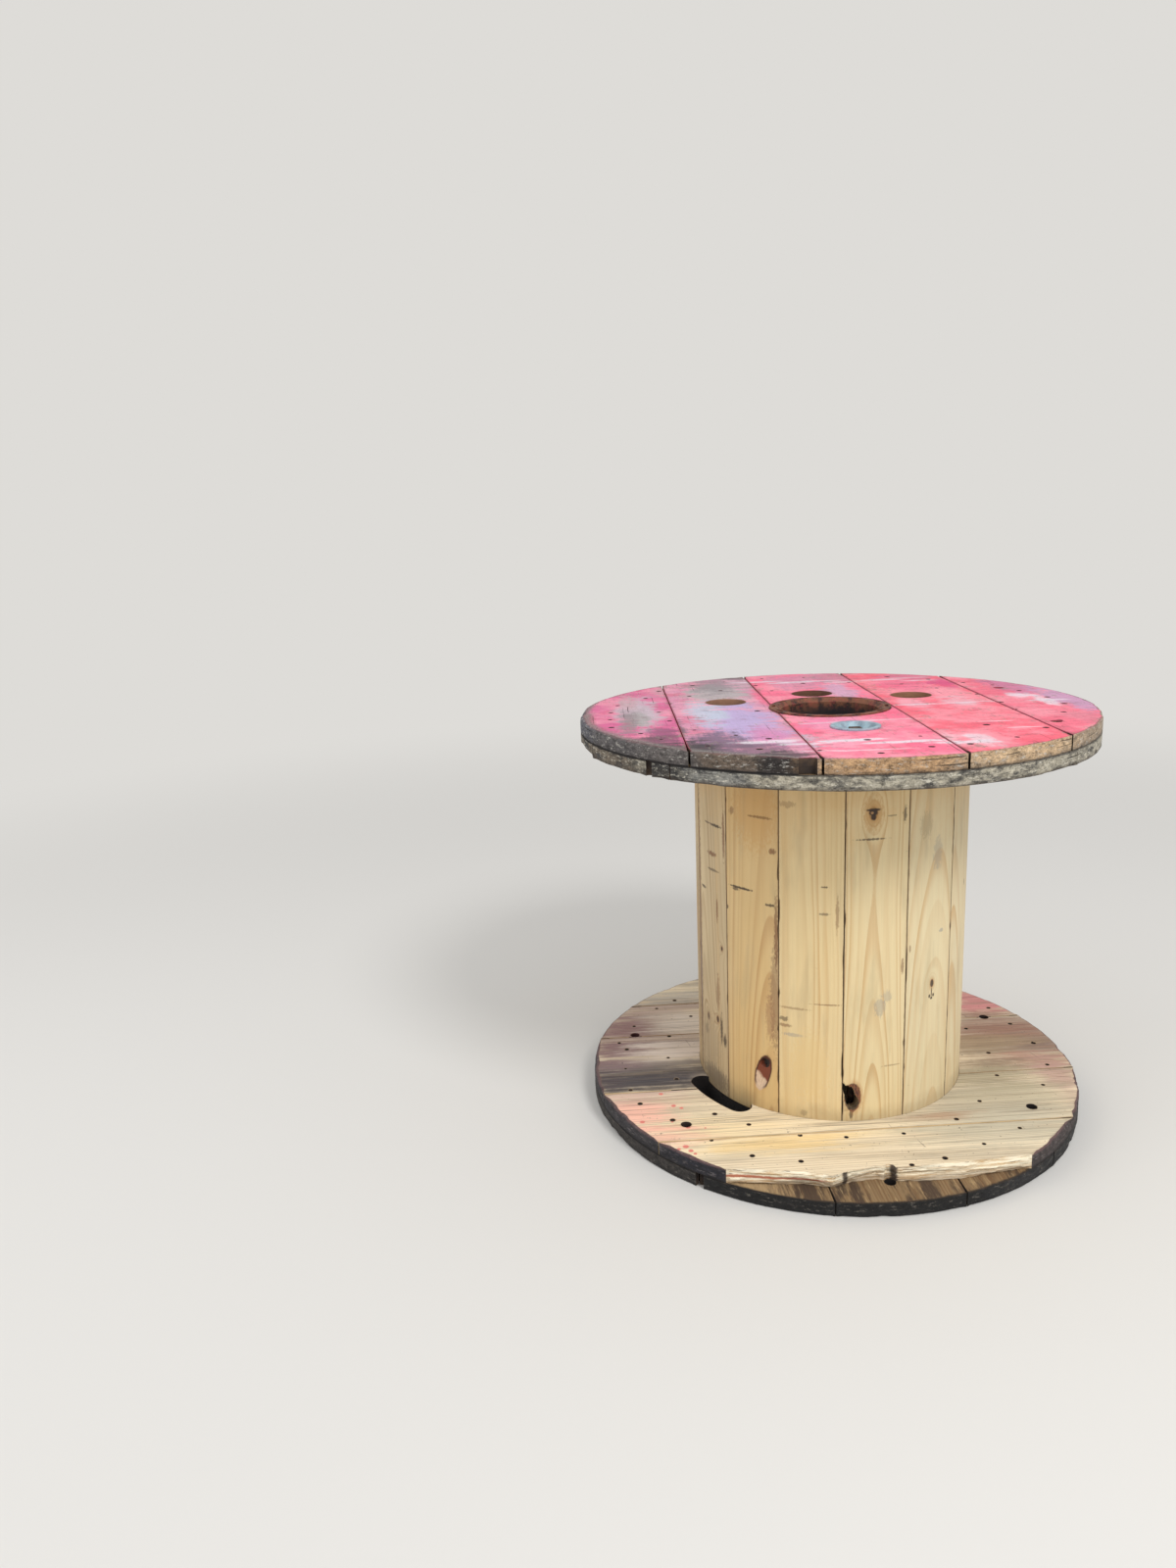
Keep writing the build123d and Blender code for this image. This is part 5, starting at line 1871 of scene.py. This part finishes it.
def steelFinish(name, look):
    r = Recipe(name)
    broad = r.noise(r.coords, 45.0, 4.0, 0.65)
    fine = r.noise(r.coords, 260.0, 4.0, 0.7)
    colour = r.mix(r.step(0.42, 0.62, broad), look["base"], look["dark"])
    colour = r.lay(colour, r.step(0.52, 0.7, fine), 0.6, look["bright"])
    if look["paintShow"]:
        left = r.mul(r.step(0.5, 0.58, r.noise(r.coords, 70.0, 4.0, 0.7)), look["paintShow"])
        colour = r.mix(left, colour, look["paint"])
    if look["deep"]:
        # The bore is painted darker the further it goes in, as shade
        z = r.split(r.coords)[2]
        sunk = r.least(r.apart(drum["height"] * mm, z), r.apart(z, 0.0))
        colour = r.lay(colour, r.step(0.006, 0.026, r.add(sunk, r.swing(broad, 0.02))), 0.94, look["deep"])
    rough = r.add(look["rough"], r.swing(fine, 0.3))
    height = r.add(r.mul(broad, 0.5), r.mul(fine, 0.5))
    return r.finish(colour, rough, height, 0.0005, 0.6, look["metal"])


for name, look in steels.items():
    material = steelFinish(name, look)
    for nodeName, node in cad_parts.items():
        if nodeName.startswith(look["nodes"]):
            node.data.materials.clear()
            node.data.materials.append(material)
print("steel finished")


# Studio: a pale floor that runs out into the backdrop's tone, and soft light
studio = {
    "floor": "dedcd8", "floorRadius": 20.0, "floorSides": 96, "floorRoughness": 0.9,
    "fadeFrom": 1.6, "fadeTo": 4.5, "worldStrength": 0.7, "lampsAimAt": (0, 0, 0.35),
}


def makeFloor():
    bpy.ops.mesh.primitive_circle_add(
        vertices=studio["floorSides"], radius=studio["floorRadius"], fill_type="NGON", location=(0, 0, 0),
    )
    floor = bpy.context.object
    floor.name = "floor"
    r = Recipe("floor")
    r.finish(studio["floor"], studio["floorRoughness"])
    tree = r.tree
    shader = next(n for n in tree.nodes if n.type == "BSDF_PRINCIPLED")
    output = next(n for n in tree.nodes if n.type == "OUTPUT_MATERIAL")
    seen = tree.nodes.new("ShaderNodeLightPath").outputs["Is Camera Ray"]
    away = r.step(studio["fadeFrom"], studio["fadeTo"], r.vector("LENGTH", r.coords))
    glow = tree.nodes.new("ShaderNodeEmission")
    glow.inputs["Color"].default_value = (*srgb(studio["floor"]), 1)
    blend = tree.nodes.new("ShaderNodeMixShader")
    r.put(blend.inputs[0], r.mul(seen, away))
    tree.links.new(shader.outputs[0], blend.inputs[1])
    tree.links.new(glow.outputs[0], blend.inputs[2])
    tree.links.new(blend.outputs[0], output.inputs[0])
    floor.data.materials.append(r.material)


def makeWorld():
    # Plain light from all round, with the floor's tone where the camera and reflections see it
    world = bpy.data.worlds.new("studio")
    scene.world = world
    world.use_nodes = True
    tree = world.node_tree
    tree.nodes.clear()
    path = tree.nodes.new("ShaderNodeLightPath")
    direct = tree.nodes.new("ShaderNodeMath")
    direct.operation = "ADD"
    direct.use_clamp = True
    tree.links.new(path.outputs["Is Camera Ray"], direct.inputs[0])
    tree.links.new(path.outputs["Is Glossy Ray"], direct.inputs[1])
    glow = tree.nodes.new("ShaderNodeBackground")
    glow.inputs["Color"].default_value = (1, 1, 1, 1)
    glow.inputs["Strength"].default_value = studio["worldStrength"]
    pale = tree.nodes.new("ShaderNodeBackground")
    pale.inputs["Color"].default_value = (*srgb(studio["floor"]), 1)
    blend = tree.nodes.new("ShaderNodeMixShader")
    tree.links.new(direct.outputs[0], blend.inputs[0])
    tree.links.new(glow.outputs[0], blend.inputs[1])
    tree.links.new(pale.outputs[0], blend.inputs[2])
    output = tree.nodes.new("ShaderNodeOutputWorld")
    tree.links.new(blend.outputs[0], output.inputs[0])


lamps = {
    "key": {"place": (2.0, -2.4, 3.6), "size": 1.3, "power": 95},
    "fill": {"place": (-3.2, -1.6, 2.0), "size": 3.0, "power": 26},
}


def makeLamps():
    for name, s in lamps.items():
        lamp = bpy.data.lights.new(name, "AREA")
        lamp.shape = "DISK"
        lamp.size = s["size"]
        lamp.energy = s["power"]
        holder = bpy.data.objects.new(name, lamp)
        holder.location = s["place"]
        aim = Vector(studio["lampsAimAt"]) - Vector(s["place"])
        holder.rotation_euler = aim.to_track_quat("-Z", "Y").to_euler()
        scene.collection.objects.link(holder)


makeFloor()
makeWorld()
makeLamps()
scene.view_settings.view_transform = "Standard"
print("studio set")
